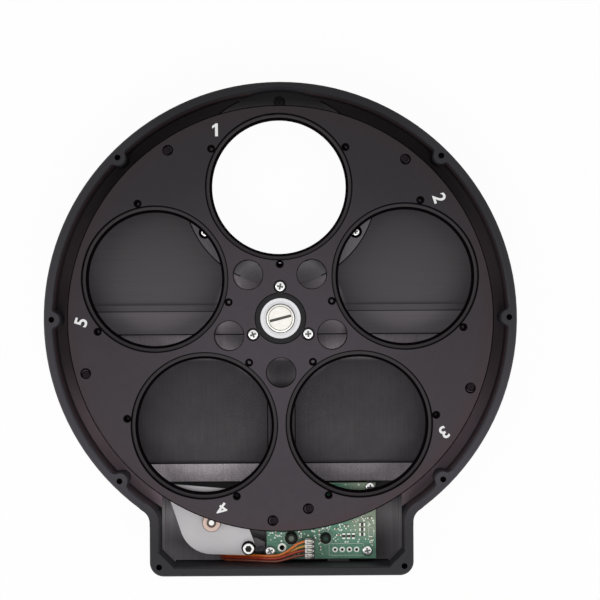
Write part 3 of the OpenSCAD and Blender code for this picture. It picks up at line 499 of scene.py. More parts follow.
def steel(name, tone, roughness, scratch=0.1, turn=0.3, slot=None, metallic=1.0, shade_below=0.0):
    """Machined or rolled metal with fine lines; painted shade darkens its recesses below a height.
    """
    m, n, s = surface(name, slot, Metallic=metallic)
    lines = n.noise(1.0, 3.0, (120, 2400, 120), turn)
    spots = n.noise(700, 3.0, roughness=0.65)
    painted_light = 1 - n.xyz()[2].below(shade_below) * 0.85
    feed(n, s, Base_Color=n.shade(tone, (0.92 + lines * 0.1 + (spots - 0.5) * 0.12) * painted_light),
         Roughness=roughness + (lines - 0.5) * scratch + (spots - 0.5) * scratch,
         Normal=n.bump(lines, 0.003))
    return m


def turned_metal(name, centre, tone, roughness, slot=None, shade_below=0.0, shade=0.1):
    """Bright metal faced on a lathe round centre; painted shade darkens its recesses and sides
    below a height.
    """
    m, n, s = surface(name, slot, Metallic=1.0)
    x, y, z = n.xyz()
    rings = n.waves(n.far(x, y, centre), 0.22)
    spots = n.noise(800, 3.0)
    painted_light = 1 - z.below(shade_below) * (1 - shade)
    feed(n, s, Base_Color=n.shade(vector(tone), (0.9 + rings * 0.03 + spots * 0.16) * painted_light),
         Roughness=roughness + rings * 0.04 + (spots - 0.5) * 0.1, Normal=n.bump(rings, 0.002))
    return m


def moulded(name, tone, roughness=0.45, variation=0.12, slot=None, shine=0.5):
    """Moulded plastic with a faint texture and slightly uneven colour."""
    m, n, s = surface(name, slot, Specular_IOR_Level=shine)
    fine = n.noise(1500, 3.0)
    broad = n.noise(160, 2.0)
    feed(n, s, Base_Color=n.shade(tone, 1 - variation + fine * variation + broad * variation),
         Roughness=roughness + (fine - 0.5) * 0.1, Normal=n.bump(fine, 0.006))
    return m


def wound_finish(name, tone, core_and_sheen_tone, node):
    """Round part with a dark winding about a core whose lighter tone is partly its own colour and
    partly painted reflection.
    """
    m, n, s = surface(name, Specular_IOR_Level=0.15)
    x, y, z = n.xyz()
    low, high = corners(node)
    middle = (low + high) / 2
    r = n.far(x, y, (middle.x, middle.y))
    fine = n.noise(1500, 3.0)
    turns = n.waves(r, 0.35)
    tone = n.mix((r / ((high.x - low.x) / 2)).below(0.42, 0.2), tone, core_and_sheen_tone)
    feed(n, s, Base_Color=n.shade(tone, 0.75 + fine * 0.5), Roughness=0.4 + fine * 0.1,
         Normal=n.bump(turns * 0.5 + fine, 0.03))
    return m


def rubber_finish():
    """Dull black rubber of the tyre."""
    m, n, s = surface("tyre_rubber")
    fine = n.noise(2500, 4.0)
    feed(n, s, Base_Color=n.shade((0.012, 0.012, 0.012), 0.7 + fine * 0.6),
         Roughness=0.75 + fine * 0.12, Normal=n.bump(fine, 0.02))
    return m


def plate_finish():
    """Pale plated sheet: a broad soft gradient and a faint rolling grain."""
    plate = vector(bpy.context.scene.wheel_colours.plate)
    m, n, s = surface("plate_steel", Metallic=0.55)
    x, y, z = n.xyz()
    grain = n.noise(1.0, 3.0, (90, 1500, 90), 0.5)
    cloud = n.noise(70, 2.0)
    tone = n.mix(cloud, n.shade(plate, 0.93), n.shade(plate, 1.08))
    tone = n.shade(tone, 0.95 + grain * 0.08)
    # Painted shade: the plate's sides, below its top, are darker
    edge = z.below(8.3)
    tone = n.mix(edge, tone, n.shade(tone, 0.6))
    feed(n, s, Base_Color=tone, Roughness=0.36 + grain * 0.08 + cloud * 0.06,
         Normal=n.bump(grain, 0.003))
    return m


def board_finish():
    """Solder mask over copper: tracks and pours show as a lighter green."""
    green = vector(bpy.context.scene.wheel_colours.board)
    m, n, s = surface("board_green", Coat_Weight=0.35, Coat_Roughness=0.2)
    x, y, z = n.xyz()
    cells = n.add("ShaderNodeTexVoronoi", {"Vector": n.place(), "Scale": 520.0},
                  {"distance": "CHEBYCHEV", "feature": "F1"}, out="Distance")
    along = ((x + y * 0.35) * 4.2).math("SINE").above(0.45, 0.3)
    across = ((y - x * 0.15) * 5.1).math("SINE").above(0.55, 0.3)
    area = n.noise(190, 1.0).above(0.52, 0.04)
    pour = n.noise(75, 1.0).above(0.5, 0.02)
    tracks = along * area + across * (1 - area)
    fine = n.noise(1800, 3.0)
    tone = n.mix(pour * 0.5, green, n.shade(green, 1.35))
    tone = n.mix(tracks * 0.55, tone, n.shade(green, 1.7))
    tone = n.mix(cells.below(0.16, 0.05) * 0.35, tone, n.shade(green, 0.6))
    warm = x.above(24.0, 10.0) * y.above(-77.0, 5.0)
    tone = n.mix(warm * 0.55, tone, (0.42, 0.40, 0.30))
    top = z.above(BOARD_HIGH.z - 0.05)
    tone = n.mix(top, (0.16, 0.20, 0.10), tone)
    feed(n, s, Base_Color=n.shade(tone, 0.9 + fine * 0.2), Roughness=0.42 + fine * 0.1,
         Normal=n.bump(tracks + pour, 0.012))
    return m


def connector_finish():
    """Nylon body whose top has a light tongue at each pin between slots painted black as shade."""
    m, n, s = surface("connector_white")
    x, y, z = n.xyz()
    low, high = corners("motor_connector")
    row = y - (low.y + high.y) / 2 + 2 * CONNECTOR_PITCH
    row = row.math("FLOORED_MODULO", CONNECTOR_PITCH) - CONNECTOR_PITCH / 2
    reach = (x - (low.x + 1.2)).most(0.0) / 1.9
    tongue = (reach * reach + (row / 0.66) * (row / 0.66)).below(1.0, 0.3)
    top = z.above(high.z - 0.4)
    fine = n.noise(1500, 3.0)
    # Painted shade: the top is black round the tongues, where the slots lie
    tone = n.mix(tongue, (0.012, 0.011, 0.010), (0.78, 0.77, 0.74))
    tone = n.mix(top, (0.55, 0.52, 0.44), tone)
    feed(n, s, Base_Color=n.shade(tone, 0.9 + fine * 0.2), Roughness=0.4 + fine * 0.1,
         Normal=n.bump(fine, 0.006))
    return m


def insulation(name, tone, slot):
    """Glossy lead insulation, a little uneven along its length."""
    m, n, s = surface(name, slot, Coat_Weight=0.4, Coat_Roughness=0.15)
    broad = n.noise(260, 2.0)
    fine = n.noise(2200, 2.0)
    feed(n, s, Base_Color=n.shade(vector(tone), 0.78 + broad * 0.44),
         Roughness=0.3 + fine * 0.1, Normal=n.bump(fine, 0.004))
    return m


# ---------------------------------------------------------------- making pieces


def link(name, data):
    """A new object of that mesh or text, in the scene."""
    piece = bpy.data.objects.new(name, data)
    bpy.context.scene.collection.objects.link(piece)
    return piece


def to_mesh(name, bm):
    """Merges doubles, turns the faces outwards and uses the bmesh up."""
    bmesh.ops.remove_doubles(bm, verts=bm.verts, dist=1e-7)
    bmesh.ops.recalc_face_normals(bm, faces=bm.faces)
    mesh = bpy.data.meshes.new(name)
    bm.to_mesh(mesh)
    bm.free()
    return mesh


def piece_of(name, bm):
    return link(name, to_mesh(name, bm))


def settle(piece, body, material, replaces=()):
    """The last steps of every piece: its finish, its body and the nodes that it stands for."""
    piece.data.materials.clear()
    piece.data.materials.append(material)
    for face in piece.data.polygons:
        face.material_index = 0
    piece.data.shade_smooth()
    piece.data.set_sharp_from_angle(angle=SHARP_ANGLE)
    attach(piece, body)
    if replaces:
        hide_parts(*replaces)


def applied(piece):
    """Turns the evaluated object, with its modifiers, into a plain mesh."""
    bpy.context.view_layer.update()
    graph = bpy.context.evaluated_depsgraph_get()
    mesh = bpy.data.meshes.new_from_object(piece.evaluated_get(graph))
    name = piece.name
    bpy.data.objects.remove(piece)
    mesh.name = name
    return link(name, mesh)


def mesh_alone(piece):
    """The piece's mesh, with the object taken away."""
    mesh = piece.data
    bpy.data.objects.remove(piece)
    return mesh


def shape_cut(piece, bm):
    """Mesh of the piece less a tool whose parts may cross each other."""
    tool = piece_of("tool", bm)
    modifier = piece.modifiers.new("cut", "BOOLEAN")
    modifier.operation = "DIFFERENCE"
    modifier.solver = "EXACT"
    modifier.use_self = True
    modifier.object = tool
    result = applied(piece)
    bpy.data.objects.remove(tool)
    return mesh_alone(result)


def revolve(profile, steps=64, closed=False):
    """bmesh of a profile of (r, z) points turned about Z."""
    bm = bmesh.new()
    rings = []
    for r, z in profile:
        angles = (2 * math.pi * k / steps for k in range(steps if r else 1))
        rings.append([bm.verts.new((r * math.cos(a) * MM, r * math.sin(a) * MM, z * MM))
                      for a in angles])
    pairs = list(zip(rings, rings[1:])) + ([(rings[-1], rings[0])] if closed else [])
    for low, high in pairs:
        for k in range(steps):
            j = (k + 1) % steps
            loop = [low[k % len(low)], low[j % len(low)],
                    high[j % len(high)], high[k % len(high)]]
            loop = list(dict.fromkeys(loop))
            if len(loop) > 2:
                bm.faces.new(loop)
    return bm


def moved(bm, x, y, z=0.0):
    bmesh.ops.translate(bm, verts=bm.verts, vec=Vector((x, y, z)) * MM)
    return bm


def block(bm, low, high):
    """Adds a box between two corners; returns its vertices."""
    made = bmesh.ops.create_cube(bm, size=1)["verts"]
    low, high = Vector(low) * MM, Vector(high) * MM
    for v in made:
        v.co = Vector(((low[k] + high[k]) / 2 + v.co[k] * (high[k] - low[k]) for k in range(3)))
    return made


def round_spots(pitch, first, count, centre=(0, 0)):
    """Points on a circle, clockwise from the first angle in degrees."""
    angles = (math.radians(first - 360 / count * k) for k in range(count))
    return [(centre[0] + pitch * math.cos(a), centre[1] + pitch * math.sin(a)) for a in angles]


def solids_centres(name):
    """Centre in x and y, bottom and top of each separate solid of a node, sorted by angle."""
    bm = bmesh.new()
    bm.from_mesh(NODES[name].data)
    bmesh.ops.remove_doubles(bm, verts=bm.verts, dist=1e-6)
    left, found = set(bm.verts), []
    while left:
        group, stack = [], [left.pop()]
        while stack:
            v = stack.pop()
            group.append(v.co / MM)
            for e in v.link_edges:
                w = e.other_vert(v)
                if w in left:
                    left.remove(w)
                    stack.append(w)
        xs, ys, zs = zip(*group)
        found.append(((min(xs) + max(xs)) / 2, (min(ys) + max(ys)) / 2, min(zs), max(zs)))
    bm.free()
    return sorted(found, key=lambda c: math.atan2(c[1], c[0]))


def board_spot(across, along):
    """Place on the board, from its left and front edges."""
    return BOARD_LOW.x + across, BOARD_LOW.y + along


# ---------------------------------------------------------------- geometry trees


def tree_with(name, numbers):
    """A geometry tree with these named inputs; returns it, its nodes and a reader of the inputs."""
    tree = bpy.data.node_groups.new(name, "GeometryNodeTree")
    tree.interface.new_socket("Geometry", in_out="INPUT", socket_type="NodeSocketGeometry")
    for key, (kind, default) in numbers.items():
        socket = tree.interface.new_socket(key, in_out="INPUT", socket_type="NodeSocket" + kind)
        if default is not None:
            socket.default_value = default
    tree.interface.new_socket("Geometry", in_out="OUTPUT", socket_type="NodeSocketGeometry")
    nodes = Nodes(tree)
    given = nodes.add("NodeGroupInput", out=None)
    return tree, nodes, lambda key: Value(nodes, given.outputs[key])


def end_tree(n, copies, finish):
    """The last nodes of every tree: real geometry in its finish."""
    real = n.add("GeometryNodeRealizeInstances", {"Geometry": copies})
    done = n.add("GeometryNodeSetMaterial", {"Geometry": real, "Material": finish})
    n.add("NodeGroupOutput", {"Geometry": done}, out=None)


def run_tree(name, tree, points, values):
    """Plain mesh object that a tree makes of points, each a place and maybe a turn and a size."""
    mesh = bpy.data.meshes.new(name)
    mesh.from_pydata([Vector(p[:3]) * MM for p in points], [], [])
    for key, column, usual in (("turn", 3, 0.0), ("size", 4, 1.0)):
        attribute = mesh.attributes.new(key, "FLOAT", "POINT")
        rows = [p[column] if len(p) > column else usual for p in points]
        attribute.data.foreach_set("value", rows)
    piece = link(name, mesh)
    modifier = piece.modifiers.new(name, "NODES")
    modifier.node_group = tree
    ids = {s.name: s.identifier for s in tree.interface.items_tree if s.in_out == "INPUT"}
    for key, value in values.items():
        modifier[ids[key]] = value
    return applied(piece)


def scatter_tree():
    """Puts a copy of the pattern object at each point, turned and sized by its attributes."""
    tree, n, value = tree_with("copies_on_points",
                               {"Pattern": ("Object", None), "Finish": ("Material", None)})
    info = n.add("GeometryNodeObjectInfo", {"Object": value("Pattern")}, out="Geometry")
    turn, size = [n.add("GeometryNodeInputNamedAttribute", {"Name": key}, {"data_type": "FLOAT"},
                        out="Attribute") for key in ("turn", "size")]
    turned = n.add("FunctionNodeEulerToRotation", {0: n.add("ShaderNodeCombineXYZ", {"Z": turn})})
    scale = n.add("ShaderNodeCombineXYZ", {"X": size, "Y": size, "Z": size})
    copies = n.add("GeometryNodeInstanceOnPoints", {"Points": value("Geometry"), "Instance": info,
                                                    "Rotation": turned, "Scale": scale})
    end_tree(n, copies, value("Finish"))
    return tree


def scatter(name, pattern_mesh, points, material):
    """A piece made of a copy of the pattern at each point."""
    tree = bpy.data.node_groups.get("copies_on_points") or scatter_tree()
    pattern = link(name + "_pattern", pattern_mesh)
    piece = run_tree(name, tree, points, {"Pattern": pattern, "Finish": material})
    bpy.data.objects.remove(pattern)
    return piece


def thread_tree():
    """Rings of a thread inside a bore, one stack of them at each point."""
    tree, n, value = tree_with("thread_rings", {
        "Bore": ("Float", 0.02), "Pitch": ("Float", 0.00075), "Depth": ("Float", 0.0002),
        "Turns": ("Int", 3), "Finish": ("Material", None)})
    circle, crest = [n.add("GeometryNodeCurvePrimitiveCircle",
                           {"Resolution": steps, "Radius": value(key)}, out="Curve")
                     for steps, key in ((128, "Bore"), (6, "Depth"))]
    ring = n.add("GeometryNodeCurveToMesh", {"Curve": circle, "Profile Curve": crest})
    up = n.add("ShaderNodeCombineXYZ", {"Z": value("Pitch")})
    line = n.add("GeometryNodeMeshLine", {"Count": value("Turns"), "Offset": up},
                 {"mode": "OFFSET"})
    stack = n.add("GeometryNodeInstanceOnPoints", {"Points": line, "Instance": ring})
    seats = n.add("GeometryNodeInstanceOnPoints", {"Points": value("Geometry"), "Instance": stack})
    end_tree(n, seats, value("Finish"))
    return tree


def knurl_tree():
    """Ridges that stand round a cylinder."""
    tree, n, value = tree_with("knurl_ridges", {
        "Radius": ("Float", 0.003), "Height": ("Float", 0.002), "Ridge": ("Float", 0.0002),
        "Count": ("Int", 40), "Finish": ("Material", None)})
    points = n.add("GeometryNodeMeshCircle",
                   {"Vertices": value("Count"), "Radius": value("Radius")}, {"fill_type": "NONE"})
    ridge = n.add("GeometryNodeMeshCylinder", {"Vertices": 4, "Side Segments": 1,
                  "Radius": value("Ridge"), "Depth": value("Height")})
    parts = n.add("ShaderNodeSeparateXYZ", {"Vector": n.add("GeometryNodeInputPosition")}, out=None)
    angle = Value(n, parts.outputs[1]).math("ARCTAN2", Value(n, parts.outputs[0]))
    turned = n.add("FunctionNodeEulerToRotation", {0: n.add("ShaderNodeCombineXYZ", {"Z": angle})})
    ridges = n.add("GeometryNodeInstanceOnPoints", {"Points": points, "Instance": ridge,
                                                    "Rotation": turned})
    whole = n.add("GeometryNodeInstanceOnPoints", {"Points": value("Geometry"), "Instance": ridges})
    end_tree(n, whole, value("Finish"))
    return tree


# ---------------------------------------------------------------- patterns


def crossed_screw(head_r, head_h, shank_r, shank_l):
    """Mesh of a domed head with a tapered cross recess; its underside lies at z = 0."""
    rows = [(0, -shank_l), (shank_r * 0.8, -shank_l), (shank_r, -shank_l + 0.3), (shank_r, 0),
            (head_r * 0.96, 0), (head_r, 0.08), (head_r, head_h * 0.45)]
    for k in range(1, 7):
        a = math.radians(15 * k)
        rows.append((head_r * (0.62 + 0.38 * math.cos(a)) if k < 6 else 0,
                     head_h * (0.45 + 0.55 * math.sin(a))))
    screw = piece_of("screw_blank", revolve(rows, 48))
    reach, width, floor = head_r * 0.66, head_r * 0.17, head_h * 0.3
    recess = bmesh.new()
    for turn in (0, 90):
        for v in block(recess, (-reach, -width, floor), (reach, width, head_h * 1.4)):
            if v.co.z < head_h * 0.5 * MM:
                v.co.x *= 0.72
                v.co.y *= 0.85
            v.co = Matrix.Rotation(math.radians(turn), 3, "Z") @ v.co
    return shape_cut(screw, recess)


def digit_mesh(number, height):
    """Flat raised numeral in metres; the one is drawn, because the font's own has no flag."""
    if number == 1:
        outline = ((-0.02, 0), (0.20, 0), (0.20, 1), (0.04, 1), (-0.24, 0.80), (-0.24, 0.60),
                   (-0.02, 0.74))
        flat = bmesh.new()
        face = flat.faces.new([flat.verts.new((x, y, 0)) for x, y in outline])
        raised = bmesh.ops.extrude_face_region(flat, geom=[face])["geom"]
        raised = [v for v in raised if isinstance(v, bmesh.types.BMVert)]
        bmesh.ops.translate(flat, vec=(0, 0, PAINT * MM), verts=raised)
        return to_mesh("digit", flat)
    text = bpy.data.curves.new("digit", "FONT")
    text.body = str(number)
    text.size = height / NUMERAL
    text.align_x = "CENTER"
    text.align_y = "CENTER"
    # Thicker strokes, a little less so on the four, whose counter would close
    text.offset = height * (0.023 if number == 4 else 0.03)
    text.extrude = 0.01 * MM
    return mesh_alone(applied(link("digit", text)))


def small_hole_spots(count):
    """Random places on the board, clear of its parts and of each other, each with a size."""
    edge, gap, apart, screw_r = 0.6, 0.3, 0.62, 1.9
    taken = [(low.x, low.y, high.x, high.y) for low, high in map(corners, (
        "motor_connector", "power_inductor", "filter_capacitor", "controller_chip", "driver_chip",
        "hall_sensor"))]
    taken += [(x - screw_r, y - screw_r, x + screw_r, y + screw_r)
              for x, y, low, high in solids_centres("board_screws")]
    taken += [(*board_spot(a, b), *board_spot(c, d)) for a, b, c, d in KEPT_CLEAR]
    taken = [(a - gap, b - gap, c + gap, d + gap) for a, b, c, d in taken]
    rng = random.Random(7)
    spots = []
    while len(spots) < count:
        x = rng.uniform(BOARD_LOW.x + edge, BOARD_HIGH.x - edge)
        y = rng.uniform(BOARD_LOW.y + edge, BOARD_HIGH.y - edge)
        if rng.random() < 0.6:
            y = rng.uniform(BOARD_LOW.y + 5.5, BOARD_LOW.y + 15)
        if any(a < x < c and b < y < d for a, b, c, d in taken):
            continue
        if any(math.hypot(x - s[0], y - s[1]) < apart for s in spots):
            continue
        spots.append((x, y, BOARD_HIGH.z, 0.0, rng.uniform(0.7, 1.35)))
    return spots


# ---------------------------------------------------------------- operators


class WHEEL_OT_housing(Operator):
    """Finish the housing and the telescope adapter"""
    bl_idname = "wheel.housing"
    bl_label = "Housing and adapter"

    def execute(self, context):
        dress(housing_finish(), "housing")
        dress(adapter_finish(), "telescope_adapter")
        return {"FINISHED"}


class WHEEL_OT_carousel(Operator):
    """Finish the carousel, its hub and its tyre"""
    bl_idname = "wheel.carousel"
    bl_label = "Carousel"

    def execute(self, context):
        dress(carousel_finish(), "carousel")
        dress(hub_finish(), "carousel_hub")
        dress(rubber_finish(), "drive_tyre")
        return {"FINISHED"}


class WHEEL_OT_digits(Operator):
    """Paint the position numbers beside the seats"""
    bl_idname = "wheel.digits"
    bl_label = "Position numbers"

    def execute(self, context):
        s = context.scene.wheel_sizes
        m, n, shader = surface("digit_paint", "carousel_black")
        wear = n.noise(2600, 3.0)
        paint = vector(context.scene.wheel_colours.digits)
        feed(n, shader, Base_Color=n.shade(paint, 0.86 + wear * 0.2),
             Roughness=0.55 + wear * 0.1, Normal=n.bump(wear, 0.003))
        top = (CAROUSEL_HIGH.z + PAINT) * MM
        bm = bmesh.new()
        for k in range(SEATS):
            seat = math.radians(FIRST_SEAT - 360 / SEATS * k)
            spot = seat + s.digit_turn
            mesh = digit_mesh(k + 1, s.digit_height)
            xs, ys, zs = zip(*(v.co for v in mesh.vertices))
            grow = s.digit_height / (max(ys) - min(ys))
            at = Vector((s.digit_circle * math.cos(spot), s.digit_circle * math.sin(spot), top))
            middle = Vector(((min(xs) + max(xs)) / 2, (min(ys) + max(ys)) / 2, 0))
            mesh.transform(Matrix.Translation(at) @ Matrix.Rotation(seat - math.pi / 2, 4, "Z")
                           @ Matrix.Diagonal((grow, grow, 1, 1)) @ Matrix.Translation(-middle))
            bm.from_mesh(mesh)
        settle(piece_of("position_numbers", bm), "carousel_body", m)
        return {"FINISHED"}


class WHEEL_OT_threads(Operator):
    """Cut the threads of the filter seats and of the telescope adapter"""
    bl_idname = "wheel.threads"
    bl_label = "Threads"

    def execute(self, context):
        s = context.scene.wheel_sizes
        tree = thread_tree()
        groove = {"Pitch": s.thread_pitch, "Depth": s.thread_depth}
        # Painted shade: the thread rings and the sleeves in the tapped holes are unlit black, for
        # the shade in their grooves
        black = void("thread_black", "carousel_black")
        low, high = CAROUSEL_LOW.z, CAROUSEL_HIGH.z
        seats = round_spots(SEAT_PITCH, FIRST_SEAT, SEATS)
        rings = run_tree("filter_threads", tree, [(x, y, low + 0.5) for x, y in seats],
                         {"Bore": SEAT_THREAD_R * MM, "Turns": 3, "Finish": black, **groove})
        settle(rings, "carousel_body", black)
        bore, wall = 0.62, 0.98
        sleeve = [(bore, low + 0.3), (wall, low + 0.3), (wall, high - 0.45), (bore, high - 0.8)]
        sleeve = to_mesh("sleeve", revolve(sleeve, 24, closed=True))
        taps = [(x, y, 0) for k, seat in enumerate(seats) for x, y in
                round_spots(RETAINER_PITCH, FIRST_SEAT - 360 / SEATS * k - 60, 3, seat)]
        settle(scatter("retainer_threads", sleeve, taps, black), "carousel_body", black)
        # Painted shade in the adapter's thread as well
        black = void("adapter_thread_black", "adapter_black")
        rings = run_tree("adapter_thread", tree, [(ADAPTER_AT.x, ADAPTER_AT.y, 0.5)],
                         {"Bore": ADAPTER_THREAD_R * MM, "Turns": 4, "Finish": black, **groove})
        settle(rings, "housing_body", black)
        return {"FINISHED"}


class WHEEL_OT_axle(Operator):
    """Make the slotted axle screw and finish the bearing"""
    bl_idname = "wheel.axle"
    bl_label = "Axle and bearing"

    def execute(self, context):
        low, high = corners("axle_screw")
        top, r = high.z, (high.x - low.x) / 2
        base = corners("axle_washer")[1].z
        cream = turned_metal("axle_cream", (0, 0), (0.80, 0.78, 0.73), 0.4, slot="bright_steel",
                             shade_below=top - 0.08, shade=0.12)
        profile = [(0, base - 2), (1.9, base - 2), (1.9, base), (r - 0.1, base), (r, base + 0.1),
                   (r, top - 0.42), (r - 0.12, top - 0.2), (r - 0.4, top - 0.04),
                   (r - 0.75, top - 0.01), (r - 0.86, top - 0.1), (r - 0.98, top - 0.1),
                   (r - 1.08, top), (0, top)]
        half_length, half_width, depth, turn = 3.85, 0.475, 0.7, math.radians(14.4)
        slot = bmesh.new()
        block(slot, (-half_length, -half_width, top - depth), (half_length, half_width, top + 1))
        bmesh.ops.rotate(slot, verts=slot.verts, cent=(0, 0, 0),
                         matrix=Matrix.Rotation(turn, 3, "Z"))
        head = shape_cut(piece_of("slotted_axle_screw", revolve(profile, 96)), slot)
        settle(link("slotted_axle_screw", head), "housing_body", cream, ("axle_screw",))
        dress(turned_metal("bearing_steel", (0, 0), (0.78, 0.78, 0.80), 0.22), "bearing_outer_race",
              "bearing_inner_race", "bearing_balls")
        dress(turned_metal("shield_steel", (0, 0), (0.72, 0.72, 0.74), 0.3, slot="bearing_steel"),
              "bearing_shields")
        dress(steel("cage_brass", (0.75, 0.56, 0.25), 0.35), "bearing_cage")
        dress(steel("axle_aluminium", (0.70, 0.70, 0.72), 0.4), "axle_post")
        dress(turned_metal("washer_steel", (0, 0), (0.62, 0.62, 0.64), 0.35, slot="bright_steel"),
              "axle_washer")
        return {"FINISHED"}


class WHEEL_OT_screws(Operator):
    """Put cross-head screws in the hub, the board and the adapter"""
    bl_idname = "wheel.screws"
    bl_label = "Screws"

    def execute(self, context):
        blackened = moulded("screw_black", (0.010, 0.009, 0.0095), 0.5, slot="bright_steel",
                            shine=0.2)
        # Node, body, radius and height of the head, radius and length of the shank, first turn
        for node, body, head_r, head_h, shank_r, shank_l, turn in (
                ("hub_screws", "carousel_body", 1.85, 1.2, 0.95, 2.0, 0.35),
                ("board_screws", "housing_body", 1.8, 1.3, 0.8, 1.5, 0.5),
                ("adapter_screws", "housing_body", 1.5, 1.1, 1.0, 2.0, 0.2)):
            m = steel(node + "_steel", BRIGHT, 0.3, 0.14, 0.9, slot="bright_steel",
                      shade_below=corners(node)[1].z - head_h * 0.6)
            screw = crossed_screw(head_r, head_h, shank_r, shank_l)
            spots = [(x, y, high - head_h, turn + 1.3 * k)
                     for k, (x, y, low, high) in enumerate(solids_centres(node))]
            if node == "adapter_screws":
                dull = [p for p in spots if abs(p[0] - ADAPTER_AT.x) < 1]
                settle(scatter("blackened_" + node, screw, dull, blackened), body, blackened)
                spots = [p for p in spots if p not in dull]
            settle(scatter("crosshead_" + node, screw, spots, m), body, m, (node,))
        dress(steel("bright_steel", BRIGHT, 0.3, 0.14, 0.9), "motor_screws")
        return {"FINISHED"}


class WHEEL_OT_magnets(Operator):
    """Finish the index magnets and the rings of glue round them, painted unlit black as the shade
    in the gaps
    """
    bl_idname = "wheel.magnets"
    bl_label = "Magnets"

    def execute(self, context):
        dress(steel("magnet_nickel", (0.014, 0.011, 0.013), 0.45, 0.2), "index_magnets",
              "home_magnet")
        # Painted shade: the glue rings are unlit black, for the shade in the gap round each magnet
        glue_shade = void("magnet_glue", "magnet_nickel")
        spots = [(x, y, high - 0.12) for x, y, low, high in
                 solids_centres("index_magnets") + solids_centres("home_magnet")]
        ring = [(1.26, 0), (1.48, 0), (1.48, 0.06), (1.38, 0.1), (1.26, 0.06)]
        ring = to_mesh("ring", revolve(ring, 40, closed=True))
        settle(scatter("magnet_glue_rings", ring, spots, glue_shade), "carousel_body", glue_shade)
        return {"FINISHED"}


class WHEEL_OT_drive(Operator):
    """Make the knurled roller and finish the plate and the motor"""
    bl_idname = "wheel.drive"
    bl_label = "Friction drive"

    def execute(self, context):
        low, high = ROLLER_LOW.z, ROLLER_HIGH.z
        brass = turned_metal("roller_brass", ROLLER_AT, context.scene.wheel_colours.roller, 0.42,
                             shade_below=high - 0.05, shade=0.25)
        profile = [(0.93, low), (3.05, low), (3.15, low + 0.1), (3.15, high - 0.12), (3.0, high),
                   (1.72, high), (1.66, high - 0.06), (1.66, high - 0.5), (0.93, high - 0.5)]
        bm = moved(revolve(profile, 72, closed=True), ROLLER_AT.x, ROLLER_AT.y)
        ridges = run_tree("roller_ridges", knurl_tree(), [ROLLER_AT],
                          {"Radius": 3.13 * MM, "Height": (high - low - 0.3) * MM,
                           "Ridge": 0.165 * MM, "Count": context.scene.wheel_sizes.knurls,
                           "Finish": brass})
        bm.from_mesh(mesh_alone(ridges))
        settle(piece_of("knurled_roller", bm), "roller_body", brass, ("drive_roller",))
        dress(turned_metal("shaft_steel", ROLLER_AT, (0.88, 0.88, 0.86), 0.2, slot="bright_steel"),
              "motor_shaft")
        dress(plate_finish(), "motor_plate")
        dress(steel("motor_steel", (0.55, 0.55, 0.57), 0.3), "motor_can")
        dress(steel("gear_case_metal", (0.36, 0.36, 0.38), 0.45), "gear_case")
        dress(steel("pin_steel", (0.7, 0.7, 0.7), 0.3, slot="bright_steel"), "plate_pin")
        dress(moulded("gland_white", (0.72, 0.72, 0.68)), "lead_gland")
        return {"FINISHED"}


class WHEEL_OT_pivot(Operator):
    """Make the socket screw of the pivot and finish what sits under it"""
    bl_idname = "wheel.pivot"
    bl_label = "Pivot and spring"

    def execute(self, context):
        top = corners("pivot_screw")[1].z
        base = corners("pivot_washer")[1].z
        bright = turned_metal("socket_screw_steel", PIVOT_AT, BRIGHT, 0.35, slot="bright_steel",
                              shade_below=top - 0.3, shade=0.03)
        profile = [(0, base - 0.3), (1.15, base - 0.3), (1.15, base), (1.9, base),
                   (1.98, base + 0.08), (1.98, top - 0.24), (1.9, top - 0.1), (1.74, top), (0, top)]
        blank = piece_of("socket_head", moved(revolve(profile), PIVOT_AT.x, PIVOT_AT.y))
        socket = revolve([(0, top - 1.1), (1.25, top - 0.9), (1.25, top + 1), (0, top + 1)], 6)
        head = shape_cut(blank, moved(socket, PIVOT_AT.x, PIVOT_AT.y))
        settle(link("pivot_socket_screw", head), "housing_body", bright, ("pivot_screw",))
        dress(steel("dark_steel", (0.035, 0.035, 0.038), 0.38, metallic=0.6), "pivot_sleeve",
              "anchor_pin", "arm_spring")
        dress(void("washer_black", "dark_steel"), "pivot_washer")
        return {"FINISHED"}


class WHEEL_OT_leads(Operator):
    """Finish the four motor leads between the motor and the connector"""
    bl_idname = "wheel.leads"
    bl_label = "Motor leads"

    def execute(self, context):
        for tone in ("orange", "red", "brown", "yellow"):
            setting = getattr(context.scene.wheel_colours, tone + "_lead")
            dress(insulation(tone + "_insulation", setting, "lead_" + tone), tone + "_lead")
        return {"FINISHED"}


class WHEEL_OT_board(Operator):
    """Finish the circuit board and plate its holes"""
    bl_idname = "wheel.board"
    bl_label = "Circuit board"

    def execute(self, context):
        dress(board_finish(), "circuit_board")
        top = BOARD_HIGH.z
        tin = steel("pad_tin", (0.86, 0.90, 0.82), 0.35, 0.2, slot="contact_tin", metallic=0.6)
        pad = [(0.5, 0), (1.0, 0), (0.97, 0.05), (0.86, 0.07), (0.5, 0.05)]
        pad = to_mesh("pad", revolve(pad, 32, closed=True))
        row = [(*board_spot(HEADER_AT[0] + HEADER_PITCH * k, HEADER_AT[1]), top) for k in range(4)]
        settle(scatter("header_pads", pad, row, tin), "housing_body", tin)
        ring = [(0.9, 0), (1.6, 0), (1.55, 0.06), (1.4, 0.08), (0.9, 0.06)]
        ring = moved(revolve(ring, 40, closed=True), *board_spot(*RING_HOLE_AT), top)
        settle(piece_of("mounting_pad", ring), "housing_body", tin)
        via = [(0.09, 0), (0.26, 0), (0.25, 0.03), (0.2, 0.045), (0.09, 0.02)]
        via = to_mesh("via", revolve(via, 14, closed=True))
        spots = small_hole_spots(context.scene.wheel_sizes.via_count)
        settle(scatter("plated_holes", via, spots, tin), "housing_body", tin)
        return {"FINISHED"}


